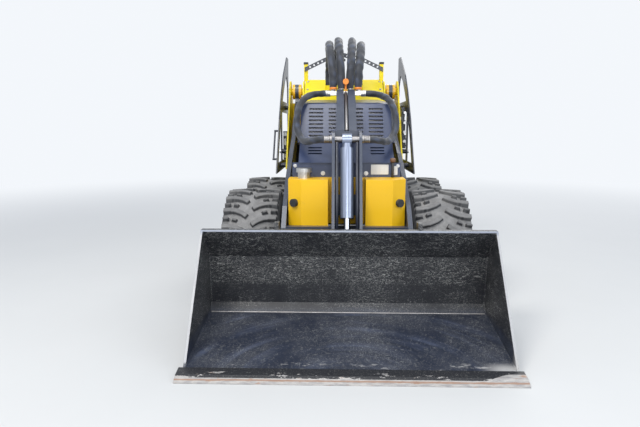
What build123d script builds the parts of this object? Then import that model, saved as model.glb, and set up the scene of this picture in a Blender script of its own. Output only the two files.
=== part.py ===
from build123d import *
import math
import os

# Mini wheel loader with a front bucket, in millimetres.
# X points to the right as seen from the front, Y points to the rear, Z points up.
# The origin is on the ground, in the middle of the machine's length and width.

os.makedirs("parts", exist_ok=True)

SIDES = (("left", -1), ("right", 1))

# Clearances
running_fit = 0.05
seat_gap = 0.3

# Overall layout
cutting_edge_y = -960
platform_rear_y = 960
wheel_radius = 266
tyre_width = 260
front_axle_y = -95
wheelbase = 575
rear_axle_y = front_axle_y + wheelbase

# Boom pivots, as (y, z) in the side view
boom_pivot = (545, 1020)
hitch_pivot = (-402, 140)
tilt_pivot = (-272, 768)
rod_pivot = (-420, 250)
lift_arm_pivot = (462, 765)
lift_base_pivot = (680, 350)

# Chassis
chassis_half = 235
chassis_wall = 10
chassis_bottom_z = 150
chassis_top_z = 600
chassis_front_y = -300
chassis_rear_y = 700
chassis_step_y = -205
chassis_step_z = 395
engine_deck_z = 400
deck_thickness = 8

# Arms
arm_inner = chassis_half + 23
arm_thickness = 20
arm_outer = arm_inner + arm_thickness
arm_middle = arm_inner + arm_thickness / 2
tyre_gap = 17
track = 2 * (arm_outer + tyre_gap) + tyre_width
arm_front_edge = (
    (-434, 150), (-376, 400), (-300, 482), (-130, 594), (60, 692), (200, 752), (330, 830), (505, 962),
)
arm_rear_edge = (
    (560, 978), (470, 838), (330, 716), (200, 640), (60, 575), (-110, 470), (-250, 370), (-318, 290),
    (-370, 140),
)
hitch_boss_radius = 32
boom_boss_radius = 42
boom_boss_width = 50
boom_pin_radius = 20
hitch_pin_radius = 14
lift_pin_radius = 11
lift_lug_radius = 24
lift_lug_inner = 12
lift_lug_outer = 22

# Towers
tower_wall = 8
tower_inner_x = chassis_half - chassis_wall
tower_outer_x = chassis_half + 75
tower_foot_y = 206
tower_rear_y = 648
tower_top_radius = 60
tower_back_bottom_z = 520

# Cowl at the front
cowl_front_y = -340
cowl_side_y = -300
cowl_back_y = -205
cowl_half = chassis_half + 17
cowl_fold_x = cowl_half - 58
cowl_recess_half = 80
cowl_recess_y = -255
cowl_bottom_z = 398
cowl_top_z = 600
cowl_wall = 4

# Hood
hood_half = chassis_half - 23
hood_wall = 4
hood_nose = ((-205, 600), (-205, 664), (-224, 664), (-112, 752), (-100, 768), (-15, 927), (0, 934))
hood_back_y = 366
hood_back_z = 966
hood_lip_half = hood_half + 10

# Console
panel_bottom = (366, 960)
panel_top = (566, 1090)
panel_half = chassis_half - 14
console_rear_y = 690

# Bucket, its inner faces as (y, z)
bucket_half = 560
bucket_plate = 8
bucket_inside = ((-893, 24), (-527, 84), (-498, 116), (-513, 312), (-604, 430))
edge_half = 575

# Cylinders
tilt_barrel_radius = 29
tilt_barrel_reach = 341
tilt_rod_radius = 14
tilt_rod_start = 100
lift_barrel_radius = 20
lift_rod_radius = 10
lift_eye_half = 10.5
lift_closed_gap = 40


def side_plane(x):
    """The plane whose sketch axes are the machine's y and z, at distance x from the middle."""
    return Plane.YZ.offset(x)


def along(start, end, distance):
    """The point that lies distance from start on the way to end, both as (y, z)."""
    length = math.dist(start, end)
    return tuple(a + (b - a) * distance / length for a, b in zip(start, end))


def save(piece, label):
    """Names a finished piece and writes its file."""
    piece.part.label = label
    export_step(piece.part, f"parts/{label}.step")


# Chassis: two side plates, a floor, an engine deck, front and rear plates
chassis_outline = (
    (chassis_front_y, chassis_bottom_z + 40),
    (chassis_front_y, chassis_step_z),
    (chassis_step_y, chassis_step_z),
    (chassis_step_y, chassis_top_z),
    (chassis_rear_y, chassis_top_z),
    (chassis_rear_y, chassis_bottom_z + 60),
    (chassis_rear_y - 60, chassis_bottom_z),
    (chassis_front_y + 40, chassis_bottom_z),
)
motor_hole_radius = 56
tie_x = chassis_half - 49
tie_y = 726
tie_z = 555
tie_thickness = 12
tie_bore_radius = 13
with BuildPart() as chassis_frame:
    for name, side in SIDES:
        with BuildSketch(side_plane(side * chassis_half)):
            Polygon(*chassis_outline, align=None)
            with Locations((front_axle_y, wheel_radius), (rear_axle_y, wheel_radius)):
                Circle(motor_hole_radius, mode=Mode.SUBTRACT)
        extrude(amount=-side * chassis_wall)
    inside_half = chassis_half - chassis_wall
    floor_length = chassis_rear_y - chassis_front_y - 100
    with Locations(((0, (chassis_rear_y + chassis_front_y) / 2 - 10, chassis_bottom_z + deck_thickness / 2))):
        Box(2 * inside_half, floor_length, deck_thickness)
    with Locations(((0, 120, engine_deck_z - deck_thickness / 2))):
        Box(2 * inside_half, 640, deck_thickness)
    with Locations((0, chassis_front_y + chassis_wall / 2, (chassis_bottom_z + 40 + chassis_step_z) / 2)):
        Box(2 * chassis_half, chassis_wall, chassis_step_z - chassis_bottom_z - 40)
    with Locations((0, chassis_rear_y - chassis_wall / 2, (chassis_bottom_z + 60 + chassis_top_z) / 2)):
        Box(2 * chassis_half, chassis_wall, chassis_top_z - chassis_bottom_z - 60)
    for x in (-tie_x, tie_x):
        with BuildSketch(side_plane(x - tie_thickness / 2)):
            Polygon((chassis_rear_y - 4, tie_z - 34), (chassis_rear_y - 4, tie_z + 34), (tie_y, tie_z + 24),
                    (tie_y, tie_z - 24), align=None)
            with Locations((tie_y, tie_z)):
                Circle(24)
                Circle(tie_bore_radius, mode=Mode.SUBTRACT)
        extrude(amount=tie_thickness)
save(chassis_frame, "chassis_frame")

# Wheel motors: a flange on the chassis side, the motor's nose and its shaft
motor_flange_radius = 74
motor_flange = 12
motor_nose_radius = 52
motor_shaft_radius = 20
disc_x = -8
hub_x = disc_x - 20
motor_shaft_end = track / 2 + hub_x - 1
motor_nose_end = motor_shaft_end - 78
with BuildPart() as wheel_motors:
    for name, side in SIDES:
        for axle_y in (front_axle_y, rear_axle_y):
            hub = Plane(origin=(side * chassis_half, axle_y, wheel_radius), z_dir=(side, 0, 0))
            with BuildSketch(hub):
                Circle(motor_flange_radius)
            extrude(amount=motor_flange)
            with BuildSketch(hub.offset(-60)):
                Circle(motor_hole_radius - 1)
            extrude(amount=60)
            with BuildSketch(hub):
                Circle(motor_nose_radius)
            extrude(amount=motor_nose_end - chassis_half)
            with BuildSketch(hub):
                Circle(motor_shaft_radius)
            extrude(amount=motor_shaft_end - chassis_half)
save(wheel_motors, "wheel_motors")

# Wheels: a hollow tyre and a dished rim on each shaft
rim_seat_radius = 127
rim_half = tyre_width / 2 - 18
rim_flange_radius = rim_seat_radius + 12
rim_plate = 4
hub_radius = 46
hub_half = 24
tyre_bead_x = rim_half - 14
tyre_bulge_x = tyre_width / 2
tyre_wall = 14
lug_height = 15
lug_count = 16
lug_root_radius = wheel_radius - 49
carcass_radius = wheel_radius - lug_height
# Corner of a lug on the unrolled tread: across the tread, along it
lug_outer = tyre_bulge_x - 12
LUG_CORNERS = ((6, -4), (50, -22), (lug_outer, -24), (lug_outer, 0), (58, 3), (14, 24))
WHEELS = (("front_left", -1, front_axle_y), ("front_right", 1, front_axle_y),
          ("rear_left", -1, rear_axle_y), ("rear_right", 1, rear_axle_y))
section = Plane.XZ
wheel_axis = Axis.X
with BuildPart() as tyre:
    with BuildSketch(section):
        with BuildLine():
            bead = rim_seat_radius + seat_gap
            flank = (tyre_bead_x + 5, rim_seat_radius + 19)
            bulge_z = wheel_radius - 78
            shoulder = (tyre_bulge_x - 12, wheel_radius - 38)
            inner_flank = (flank[0] - tyre_wall, flank[1] + 6)
            inner_crown = (shoulder[0] - tyre_wall, carcass_radius - 26)
            for end in (-1, 1):
                Polyline((end * inner_flank[0], inner_flank[1]), (end * (tyre_bead_x - tyre_wall), bead),
                         (end * tyre_bead_x, bead), (end * flank[0], flank[1]))
                ThreePointArc((end * flank[0], flank[1]), (end * tyre_bulge_x, bulge_z),
                              (end * shoulder[0], shoulder[1]))
                ThreePointArc((end * inner_flank[0], inner_flank[1]),
                              (end * (tyre_bulge_x - tyre_wall), bulge_z + 2),
                              (end * inner_crown[0], inner_crown[1]))
            ThreePointArc(shoulder, (0, carcass_radius), (-shoulder[0], shoulder[1]))
            Line(inner_crown, (-inner_crown[0], inner_crown[1]))
        make_face()
    revolve(axis=wheel_axis)
    # Lugs in two rows, the rows half a pitch apart, each with a flat top
    for row in (-1, 1):
        for number in range(lug_count):
            turn = 360 / lug_count * (number + (0.5 if row > 0 else 0))
            with BuildSketch(Plane.XY.rotated((turn, 0, 0)).offset(wheel_radius)):
                Polygon(*((row * across, along_tread) for across, along_tread in LUG_CORNERS), align=None)
            extrude(amount=-(wheel_radius - lug_root_radius))
with BuildPart() as rim:
    with BuildSketch(section):
        with BuildLine():
            Polyline((-rim_half, rim_flange_radius), (-rim_half, rim_seat_radius - rim_plate),
                     (rim_half, rim_seat_radius - rim_plate), (rim_half, rim_flange_radius),
                     (rim_half - rim_plate, rim_flange_radius), (rim_half - rim_plate, rim_seat_radius),
                     (-rim_half + rim_plate, rim_seat_radius), (-rim_half + rim_plate, rim_flange_radius),
                     close=True)
        make_face()
        with Locations((disc_x, (hub_radius + rim_seat_radius) / 2 - 4)):
            Rectangle(8, rim_seat_radius - hub_radius + 4)
        bore = motor_shaft_radius + running_fit
        with Locations((hub_x, (hub_radius + bore) / 2)):
            Rectangle(2 * hub_half, hub_radius - bore)
    revolve(axis=wheel_axis)
for name, side, axle_y in WHEELS:
    # A left wheel is a right one turned half round about its upright axis
    place = Location((side * track / 2, axle_y, wheel_radius), (0, 0, 0 if side > 0 else 180))
    for kind, piece in (("tyre", tyre), ("rim", rim)):
        wheel_piece = piece.part.moved(place)
        wheel_piece.label = f"{kind}_{name}"
        export_step(wheel_piece, f"parts/{kind}_{name}.step")

# Towers: a channel each side whose two walls carry the boom pin
tower_foot = (tower_foot_y, chassis_top_z)
tower_outline = (
    tower_foot, (494, 1052), boom_pivot, (605, 1020), (tower_rear_y, 960), (tower_rear_y, chassis_top_z),
)
for name, side in SIDES:
    with BuildPart() as tower:
        for x in (tower_inner_x, tower_outer_x - tower_wall):
            with BuildSketch(side_plane(side * x)):
                Polygon(*tower_outline, align=None)
                with Locations(boom_pivot):
                    Circle(tower_top_radius)
                    Circle(boom_pin_radius + running_fit, mode=Mode.SUBTRACT)
            extrude(amount=side * tower_wall)
        tower_width = tower_outer_x - tower_inner_x
        back_y = tower_rear_y - tower_wall / 2
        with Locations((side * (tower_inner_x + tower_width / 2), back_y, chassis_top_z)):
            Box(tower_width, tower_wall, 960 - chassis_top_z, align=(Align.CENTER, Align.CENTER, Align.MIN))
        lower_width = tower_outer_x - chassis_half
        with Locations((side * (chassis_half + lower_width / 2), back_y, chassis_top_z)):
            Box(lower_width, tower_wall, chassis_top_z - tower_back_bottom_z,
                align=(Align.CENTER, Align.CENTER, Align.MAX))
    save(tower, f"tower_{name}")

# Pins fixed to the chassis: the boom pins and the stub pins under the lift cylinders
with BuildPart() as boom_pins:
    for name, side in SIDES:
        with BuildSketch(Plane(origin=(side * (tower_inner_x - 3), *boom_pivot), z_dir=(side, 0, 0))):
            Circle(boom_pin_radius)
        extrude(amount=tower_outer_x - tower_inner_x + 9)
        with BuildSketch(Plane(origin=(side * chassis_half, *lift_base_pivot), z_dir=(side, 0, 0))):
            Circle(lift_pin_radius)
        extrude(amount=arm_middle - chassis_half + 18)
save(boom_pins, "boom_pins")

# Front cowl: a folded sheet box with a recess for the tilt cylinder
cowl_outline = (
    (-cowl_half, cowl_back_y), (-cowl_half, cowl_side_y), (-cowl_fold_x, cowl_front_y),
    (-cowl_recess_half, cowl_front_y), (-cowl_recess_half, cowl_recess_y), (cowl_recess_half, cowl_recess_y),
    (cowl_recess_half, cowl_front_y), (cowl_fold_x, cowl_front_y), (cowl_half, cowl_side_y),
    (cowl_half, cowl_back_y),
)
with BuildPart() as front_cowl:
    with BuildSketch(Plane.XY.offset(cowl_bottom_z)):
        Polygon(*cowl_outline, align=None)
    extrude(amount=cowl_top_z - cowl_bottom_z)
    back_and_bottom = (front_cowl.faces().sort_by(Axis.Z)[0], front_cowl.faces().sort_by(Axis.Y)[-1])
    offset(amount=-cowl_wall, openings=list(back_and_bottom), kind=Kind.INTERSECTION)
save(front_cowl, "front_cowl")

# Rubber stops on the cowl's corners
stop_radius = 17
stop_length = 16
stop_z = 500
stop_x = cowl_half - 30
with BuildPart() as boom_stops:
    for name, side in SIDES:
        slope = math.atan2(cowl_side_y - cowl_front_y, cowl_half - cowl_fold_x)
        seat_y = cowl_front_y + (stop_x - cowl_fold_x) * math.tan(slope)
        facing = Plane(origin=(side * stop_x, seat_y, stop_z),
                       z_dir=(side * math.sin(slope), -math.cos(slope), 0))
        with BuildSketch(facing):
            Circle(stop_radius)
        extrude(amount=stop_length)
save(boom_stops, "boom_stops")

# Oil filler cap on the cowl
cap_radius = 33
cap_height = 44
cap_x = 66 - cowl_half
cap_y = cowl_back_y - 57
with BuildPart() as filler_cap:
    with BuildSketch(Plane.XY.offset(cowl_top_z)):
        with Locations((cap_x, cap_y)):
            Circle(cap_radius - 6)
    extrude(amount=cap_height - 16)
    with BuildSketch(Plane.XY.offset(cowl_top_z + cap_height - 18)):
        with Locations((cap_x, cap_y)):
            Circle(cap_radius)
    extrude(amount=18)
save(filler_cap, "filler_cap")

# Hood: a shell open below and behind, with rows of slots in its sloping front
lip_y = -114
lip_z = 756
# Each grille: lower and upper edge of its face as (y, z), slot columns from and to x, rows,
# slot height, first slot's distance up the face, pitch
GRILLES = (
    ((-100, 768), (-15, 927), ((107, 173), (47, 80)), 8, 9, 14, 20),
    ((-224, 664), (-112, 752), ((110, 172),), 3, 9, 62, 20),
)
with BuildPart() as hood:
    with BuildSketch(side_plane(-hood_half)):
        Polygon(*hood_nose, (hood_back_y, hood_back_z), (hood_back_y, hood_nose[0][1]), align=None)
    extrude(amount=2 * hood_half)
    open_faces = [hood.faces().sort_by(Axis.Z)[0], hood.faces().sort_by(Axis.Y)[-1]]
    offset(amount=-hood_wall, openings=open_faces, kind=Kind.INTERSECTION)
    with Locations((0, lip_y, lip_z)):
        Box(2 * hood_lip_half, 12, 12)
    for side_x in (-1, 1):
        with BuildSketch(Plane.XZ.offset(-hood_back_y)):
            Polygon((side_x * hood_half, 925), (side_x * (hood_half - 34), 975),
                    (side_x * (hood_half + 5), 975), (side_x * (hood_half + 5), 925), align=None)
        extrude(amount=hood_back_y + 105, mode=Mode.SUBTRACT)
    for face_start, face_end, columns, rows, slot_height, first, pitch in GRILLES:
        slope = Plane(origin=(0, *face_start), x_dir=(1, 0, 0),
                      z_dir=(0, face_start[1] - face_end[1], face_end[0] - face_start[0]))
        for low_x, high_x in columns:
            for row in range(rows):
                with BuildSketch(slope.offset(2)):
                    middle_x = (low_x + high_x) / 2
                    slot_z = first + pitch * row
                    with Locations((-middle_x, slot_z), (middle_x, slot_z)):
                        Rectangle(high_x - low_x, slot_height)
                extrude(amount=-10, mode=Mode.SUBTRACT)
save(hood, "hood")

# Bulkhead: the plate across the front under the hood
bulkhead_half = chassis_half + 5
with BuildPart() as bulkhead:
    with Locations((0, cowl_back_y - 6, chassis_top_z)):
        Box(2 * bulkhead_half, 5, 64, align=(Align.CENTER, Align.CENTER, Align.MIN))
save(bulkhead, "bulkhead")

# Engine: one plain block on the deck, with its fan housing towards the grille
with BuildPart() as engine:
    with Locations((0, 150, engine_deck_z)):
        Box(300, 330, 400, align=(Align.CENTER, Align.CENTER, Align.MIN))
    with BuildSketch(Plane.XZ.offset(15)):
        with Locations((60, 700)):
            Circle(110)
    extrude(amount=40)
save(engine, "engine")

# Console: the sloping yellow panel and the closed housing behind it
gland_y = 470
gland_top_z = 1050
arch_tops = (-86, -41, 41, 86)
with BuildPart() as console_panel:
    with Locations(*((x, gland_y, gland_top_z) for x in arch_tops)):
        Cylinder(21, 50, align=(Align.CENTER, Align.CENTER, Align.MAX))
    with BuildSketch(side_plane(-panel_half)):
        Polygon((panel_bottom[0], panel_bottom[1] - 5), (panel_top[0] + 3, panel_top[1] - 5),
                (panel_top[0] + 3, 900), (panel_bottom[0], 900), align=None)
    extrude(amount=2 * panel_half, mode=Mode.SUBTRACT)
    with BuildSketch(side_plane(-panel_half)):
        Polygon(panel_bottom, panel_top, (panel_top[0] + 3, panel_top[1] - 5),
                (panel_bottom[0] + 3, panel_bottom[1] - 5), align=None)
    extrude(amount=2 * panel_half)
save(console_panel, "console_panel")

with BuildPart() as console:
    with BuildSketch(side_plane(-panel_half)):
        Polygon((panel_bottom[0] + 4, chassis_top_z), (panel_bottom[0] + 4, panel_bottom[1] - 5),
                (panel_top[0] + 3, panel_top[1] - 6), (console_rear_y, panel_top[1] - 6),
                (console_rear_y, chassis_top_z), align=None)
    extrude(amount=2 * panel_half)
save(console, "console")

# Posts and the perforated grab rail across the top of the console
post_x = panel_half - 2
post_width = 22
post_y = 590
post_depth = 36
post_foot_z = panel_top[1] - 6
post_top_z = 1178
rail_thickness = 6
# Rows of holes in the rail: from and to as (x, z), the row's slope in degrees, how many
RAIL_HOLES = (((114, 1200), (206, 1157), 25, 4), ((8, 1226), (106, 1203), 13, 4))
rail_height = 24
rail_end = post_x + 7
rail_line = ((-rail_end, 1136), (-110, 1190), (0, 1216), (110, 1190), (rail_end, 1136))
with BuildPart() as rail_posts:
    for name, side in SIDES:
        with Locations((side * post_x, post_y, post_foot_z)):
            Box(post_width, post_depth, post_top_z - post_foot_z,
                align=(Align.CENTER, Align.CENTER, Align.MIN))
save(rail_posts, "rail_posts")

with BuildPart() as grab_rail:
    with BuildSketch(Plane.XZ.offset(-(post_y - post_depth / 2))):
        Polygon(*rail_line, *((x, z + rail_height) for x, z in reversed(rail_line)), align=None)
    extrude(amount=rail_thickness)
    with BuildSketch(Plane.XZ.offset(-(post_y - post_depth / 2))):
        for side_x in (-1, 1):
            for start, end, slope, holes in RAIL_HOLES:
                for number in range(holes):
                    share = (number + 0.5) / holes
                    hole_x = start[0] + (end[0] - start[0]) * share
                    hole_z = start[1] + (end[1] - start[1]) * share
                    with Locations((side_x * hole_x, hole_z)):
                        Rectangle(9, 10, rotation=-side_x * slope)
    extrude(amount=rail_thickness, mode=Mode.SUBTRACT)
save(grab_rail, "grab_rail")

with BuildPart() as post_caps:
    for name, side in SIDES:
        with Locations((side * post_x, post_y, post_top_z)):
            Box(post_width + 4, post_depth + 4, 12, align=(Align.CENTER, Align.CENTER, Align.MIN))
save(post_caps, "post_caps")

# Control levers on the console's top, behind the hoses
lever_y = 640
with BuildPart() as control_levers:
    with Locations((0, lever_y, post_foot_z)):
        Box(170, 50, 10, align=(Align.CENTER, Align.CENTER, Align.MIN))
    for x, stem, knob in ((-66, 74, 34), (-33, 74, 34), (0, 124, 10), (33, 74, 34), (66, 74, 34)):
        lever_foot = Plane(origin=(x, lever_y, post_foot_z + 6), z_dir=(0, 0.2, 1))
        with BuildSketch(lever_foot):
            Circle(5)
        extrude(amount=stem)
        with BuildSketch(lever_foot.offset(stem - 4)):
            Circle(12)
        extrude(amount=knob)
save(control_levers, "control_levers")

# Standing platform with its side brackets, and the pad on the console's rear face
platform_z = 200
with BuildPart() as platform:
    with Locations((0, (chassis_rear_y + platform_rear_y) / 2, platform_z)):
        Box(2 * chassis_half, platform_rear_y - chassis_rear_y, 6)
    for name, side in SIDES:
        with BuildSketch(side_plane(side * chassis_half)):
            Polygon((chassis_rear_y, platform_z - 3), (chassis_rear_y, 420),
                    (platform_rear_y - 30, platform_z + 30), (platform_rear_y, platform_z - 3), align=None)
        extrude(amount=-side * 6)
save(platform, "platform")

with BuildPart() as knee_pad:
    with Locations((0, console_rear_y + 23, 820)):
        Box(2 * (panel_half - 61), 46, 240)
    fillet(knee_pad.edges(), 12)
save(knee_pad, "knee_pad")

# Side guards: open frames of flat plate outside the towers
guard_inner_x = tower_outer_x + 26
guard_plate = 6
guard_outline = (
    (25, 592), (130, 756), (195, 858), (330, 1012), (440, 1106), (655, 1228), (742, 1228), (742, 592),
)
guard_windows = (
    ((330, 640), (700, 640), (700, 900), (330, 900)),
    ((370, 960), (700, 960), (700, 1060), (640, 1120), (530, 1080), (430, 1010)),
    ((110, 640), (290, 640), (290, 870), (235, 820), (160, 720)),
)
guard_spacers = ((232, 620), (600, 620), (560, 930), (312, 690))
for name, side in SIDES:
    with BuildPart() as guard:
        with BuildSketch(side_plane(side * guard_inner_x)):
            Polygon(*guard_outline, align=None)
            for window in guard_windows:
                Polygon(*window, align=None, mode=Mode.SUBTRACT)
        extrude(amount=side * guard_plate)
        for y, z in guard_spacers:
            with BuildSketch(Plane(origin=(side * tower_outer_x, y, z), z_dir=(side, 0, 0))):
                Circle(12)
            extrude(amount=guard_inner_x - tower_outer_x)
    save(guard, f"guard_{name}")

# Box outside the left tower, valve block outside the right one
with BuildPart() as side_box:
    with Locations((-(tower_outer_x + 11), 388, 722)):
        Box(22, 120, 150)
save(side_box, "side_box")

# Each part of the block: y, z, size along y and z
VALVE_BLOCKS = ((330, 742, 70, 72), (350, 826, 60, 60), (372, 900, 46, 50))
with BuildPart() as valve_block:
    for y, z, length, height in VALVE_BLOCKS:
        with Locations((tower_outer_x + 10, y, z)):
            Box(20, length, height)
    with Locations((tower_outer_x + 8, 345, 820)):
        Box(16, 30, 180)
    with BuildSketch(Plane.XZ.offset(-300)):
        with Locations((tower_outer_x + 12, 722), (tower_outer_x + 12, 756)):
            Circle(8)
    extrude(amount=22)
save(valve_block, "valve_block")

# Handle bar outside the left guard
handle_ends = ((95, 660), (189, 800))
handle_radius = 5
handle_standoff = 18
with BuildPart() as guard_handle:
    guard_face_x = -(guard_inner_x + guard_plate)
    for end in handle_ends:
        with BuildSketch(Plane(origin=(guard_face_x, *end), z_dir=(-1, 0, 0))):
            Circle(handle_radius)
        extrude(amount=handle_standoff + handle_radius)
    rise = (handle_ends[1][0] - handle_ends[0][0], handle_ends[1][1] - handle_ends[0][1])
    with BuildSketch(Plane(origin=(guard_face_x - handle_standoff, *handle_ends[0]), z_dir=(0, *rise))):
        Circle(handle_radius - 0.5)
    extrude(amount=math.dist(*handle_ends))
save(guard_handle, "guard_handle")

# Boom arms, each with two lugs that hold the lift cylinder's rod between them
lift_lug_root = ((399, 776), (385, 793), (445, 845), (459, 828))
for name, side in SIDES:
    with BuildPart() as arm:
        with BuildSketch(side_plane(side * arm_inner)):
            Polygon(*arm_front_edge, boom_pivot, *arm_rear_edge, align=None)
            with Locations(hitch_pivot):
                Circle(hitch_boss_radius)
            with Locations(boom_pivot):
                Circle(boom_boss_radius)
            with Locations(hitch_pivot):
                Circle(hitch_pin_radius + running_fit, mode=Mode.SUBTRACT)
        extrude(amount=side * arm_thickness)
        with BuildSketch(side_plane(side * (arm_middle - lift_lug_outer))):
            Polygon(*lift_lug_root, align=None)
        extrude(amount=side * 2 * lift_lug_outer)
        for inner, outer in ((-lift_lug_outer, -lift_lug_inner), (lift_lug_inner, lift_lug_outer)):
            with BuildSketch(side_plane(side * (arm_middle + inner))):
                Polygon(*lift_lug_root, (480, 781), (444, 749), align=None)
                with Locations(lift_arm_pivot):
                    Circle(lift_lug_radius)
            extrude(amount=side * (outer - inner))
            pin_start = arm_middle + (inner - 3 if inner < 0 else lift_lug_inner - 1.2)
            with BuildSketch(Plane(origin=(side * pin_start, *lift_arm_pivot), z_dir=(side, 0, 0))):
                Circle(lift_pin_radius)
            extrude(amount=lift_lug_outer - lift_lug_inner + 4.2)
        with BuildSketch(side_plane(side * (arm_middle - boom_boss_width / 2))):
            with Locations(boom_pivot):
                Circle(boom_boss_radius)
        extrude(amount=side * boom_boss_width)
        with BuildSketch(side_plane(side * (arm_middle - boom_boss_width / 2))):
            with Locations(boom_pivot):
                Circle(boom_pin_radius + running_fit)
        extrude(amount=side * boom_boss_width, mode=Mode.SUBTRACT)
    save(arm, f"arm_{name}")

# Cross member between the arms, in two halves that leave the middle free for the cylinder
bracket_outer = 64
bracket_plate = 12
cross_front_y = -380
cross_back_y = -346
cross_bottom_z = 348
cross_top_z = 405
with BuildPart() as cross_member:
    for name, side in SIDES:
        length = arm_inner - bracket_outer
        with Locations((side * (bracket_outer + length / 2), (cross_front_y + cross_back_y) / 2,
                        (cross_bottom_z + cross_top_z) / 2)):
            Box(length, cross_back_y - cross_front_y, cross_top_z - cross_bottom_z)
save(cross_member, "cross_member")

# Bracket of the tilt cylinder: two tall plates joined by a web behind the cylinder
bracket_outline = (
    (-424, 350), (-419, 400), (-299, 776), (-285, 796), (-226, 806), (-215, 780), (-250, 720),
    (-272, 620), (-272, 440), (-330, 350),
)
web_front_y = -285
with BuildPart() as tilt_bracket:
    for name, side in SIDES:
        with BuildSketch(side_plane(side * bracket_outer)):
            Polygon(*bracket_outline, align=None)
            with Locations(tilt_pivot):
                Circle(13 + running_fit, mode=Mode.SUBTRACT)
        extrude(amount=-side * bracket_plate)
    with Locations((0, web_front_y + 5, 485)):
        Box(2 * (bracket_outer - bracket_plate), 10, 90)
save(tilt_bracket, "tilt_bracket")

with BuildPart() as tilt_pin:
    with BuildSketch(Plane(origin=(-74, *tilt_pivot), z_dir=(1, 0, 0))):
        Circle(13)
    extrude(amount=148)
    for x in (-74, 64):
        with BuildSketch(Plane(origin=(x, *tilt_pivot), z_dir=(1, 0, 0))):
            Circle(17)
        extrude(amount=10)
save(tilt_pin, "tilt_pin")

# Hose mast: a double channel from the bracket up to the hose manifold
mast_foot = (-236, 778)
mast_head = (30, 968)
mast_half = 44
mast_gap_half = 10
mast_rise = 30
mast_web_rise = 7
manifold_half = 73
arch_stub = 14
arch_feet = (-60, -21, 21, 60)
manifold_depth = 36
manifold_height = 18
with BuildPart() as hose_mast:
    for name, side in SIDES:
        with BuildSketch(side_plane(side * mast_gap_half)):
            Polygon(mast_foot, mast_head, (mast_head[0], mast_head[1] + mast_rise),
                    (mast_foot[0], mast_foot[1] + mast_rise), align=None)
        extrude(amount=side * (mast_half - mast_gap_half))
    with BuildSketch(side_plane(-mast_gap_half)):
        Polygon(mast_foot, mast_head, (mast_head[0], mast_head[1] + mast_web_rise),
                (mast_foot[0], mast_foot[1] + mast_web_rise), align=None)
    extrude(amount=2 * mast_gap_half)
    with Locations((0, mast_foot[0] + 6, mast_foot[1] + 14)):
        Box(2 * (bracket_outer - bracket_plate), 12, 20)
save(hose_mast, "hose_mast")

manifold_y = mast_head[0] + manifold_depth / 2
manifold_z = mast_head[1] + 12
with BuildPart() as manifold:
    with Locations((0, manifold_y, manifold_z)):
        Box(2 * manifold_half, manifold_depth, manifold_height)
    with BuildSketch(Plane.XY.offset(manifold_z + manifold_height / 2)):
        with Locations(*((x, manifold_y) for x in arch_feet)):
            Circle(12)
    extrude(amount=arch_stub)
    with BuildSketch(Plane.XY.offset(manifold_z + manifold_height / 2)):
        with Locations(*((x, manifold_y) for x in arch_feet)):
            RegularPolygon(14, 6, rotation=30)
    extrude(amount=8)
save(manifold, "manifold")

knob_y = 28
knob_z = 1033
with BuildPart() as manifold_knob:
    with BuildSketch(Plane.XY.offset(manifold_z + manifold_height / 2)):
        with Locations((0, knob_y + 5)):
            Circle(5)
    extrude(amount=knob_z + 4 - manifold_z - manifold_height / 2)
    with BuildSketch(Plane.XZ.offset(-knob_y - 5)):
        with Locations((0, knob_z)):
            Circle(5)
    extrude(amount=10)
    with BuildSketch(Plane.XZ.offset(-knob_y)):
        with Locations((0, knob_z)):
            Circle(14)
    extrude(amount=18)
save(manifold_knob, "manifold_knob")

# Hoses: straight runs joined by tangent arcs
sleeve_radius = 16.5
arch_radius = 19
LOOP_ROUTE = (
    (73, 48, 980), (118, 48, 980), (168, 22, 973), (207, -46, 942), (226, -98, 882), (228, -126, 820),
    (208, -154, 773), (178, -212, 752), (128, -272, 768), (74, -272, 768),
)
ARCH_PROFILE = (
    (48, 1003), (48, 1068), (76, 1146), (138, 1216), (226, 1260), (322, 1252), (410, 1200),
    (470, 1128), (470, 1050),
)
ARCH_SPREAD = (0, 0, 0.5, 0.9, 1.05, 1.1, 1.05, 1, 1)


def bend_radii(points):
    """For each corner of a route, 0.45 of the shorter run beside it over the tangent of half the turn."""
    radii = []
    for before, corner, after in zip(points, points[1:], points[2:]):
        first = Vector(*corner) - Vector(*before)
        second = Vector(*after) - Vector(*corner)
        half_turn = math.radians(first.get_angle(second)) / 2
        radii.append(0.45 * min(first.length, second.length) / math.tan(half_turn))
    return radii


def hose(points, radius, label):
    """A tube along a route, with its volume set against its section times its length."""
    radii = bend_radii(points)
    print(label, "radii", [round(r) for r in radii])
    with BuildPart() as tube:
        with BuildLine() as route:
            FilletPolyline(*points, radius=radii)
        start = Plane(origin=route.line @ 0, z_dir=route.line % 0)
        with BuildSketch(start):
            Circle(radius)
        sweep()
    length = sum(edge.length for edge in route.edges())
    share = tube.part.volume / (math.pi * radius ** 2 * length)
    print(label, "length", round(length), "volume share", round(share, 4))
    save(tube, label)


for name, side in SIDES:
    hose([(side * x, y, z) for x, y, z in LOOP_ROUTE], sleeve_radius, f"loop_hose_{name}")
for number, (foot_x, top_x) in enumerate(zip(arch_feet, arch_tops), 1):
    route_points = [(foot_x + (top_x - foot_x) * share, y, z)
                    for share, (y, z) in zip(ARCH_SPREAD, ARCH_PROFILE)]
    hose(route_points, arch_radius, f"arch_hose_{number}")

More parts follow.
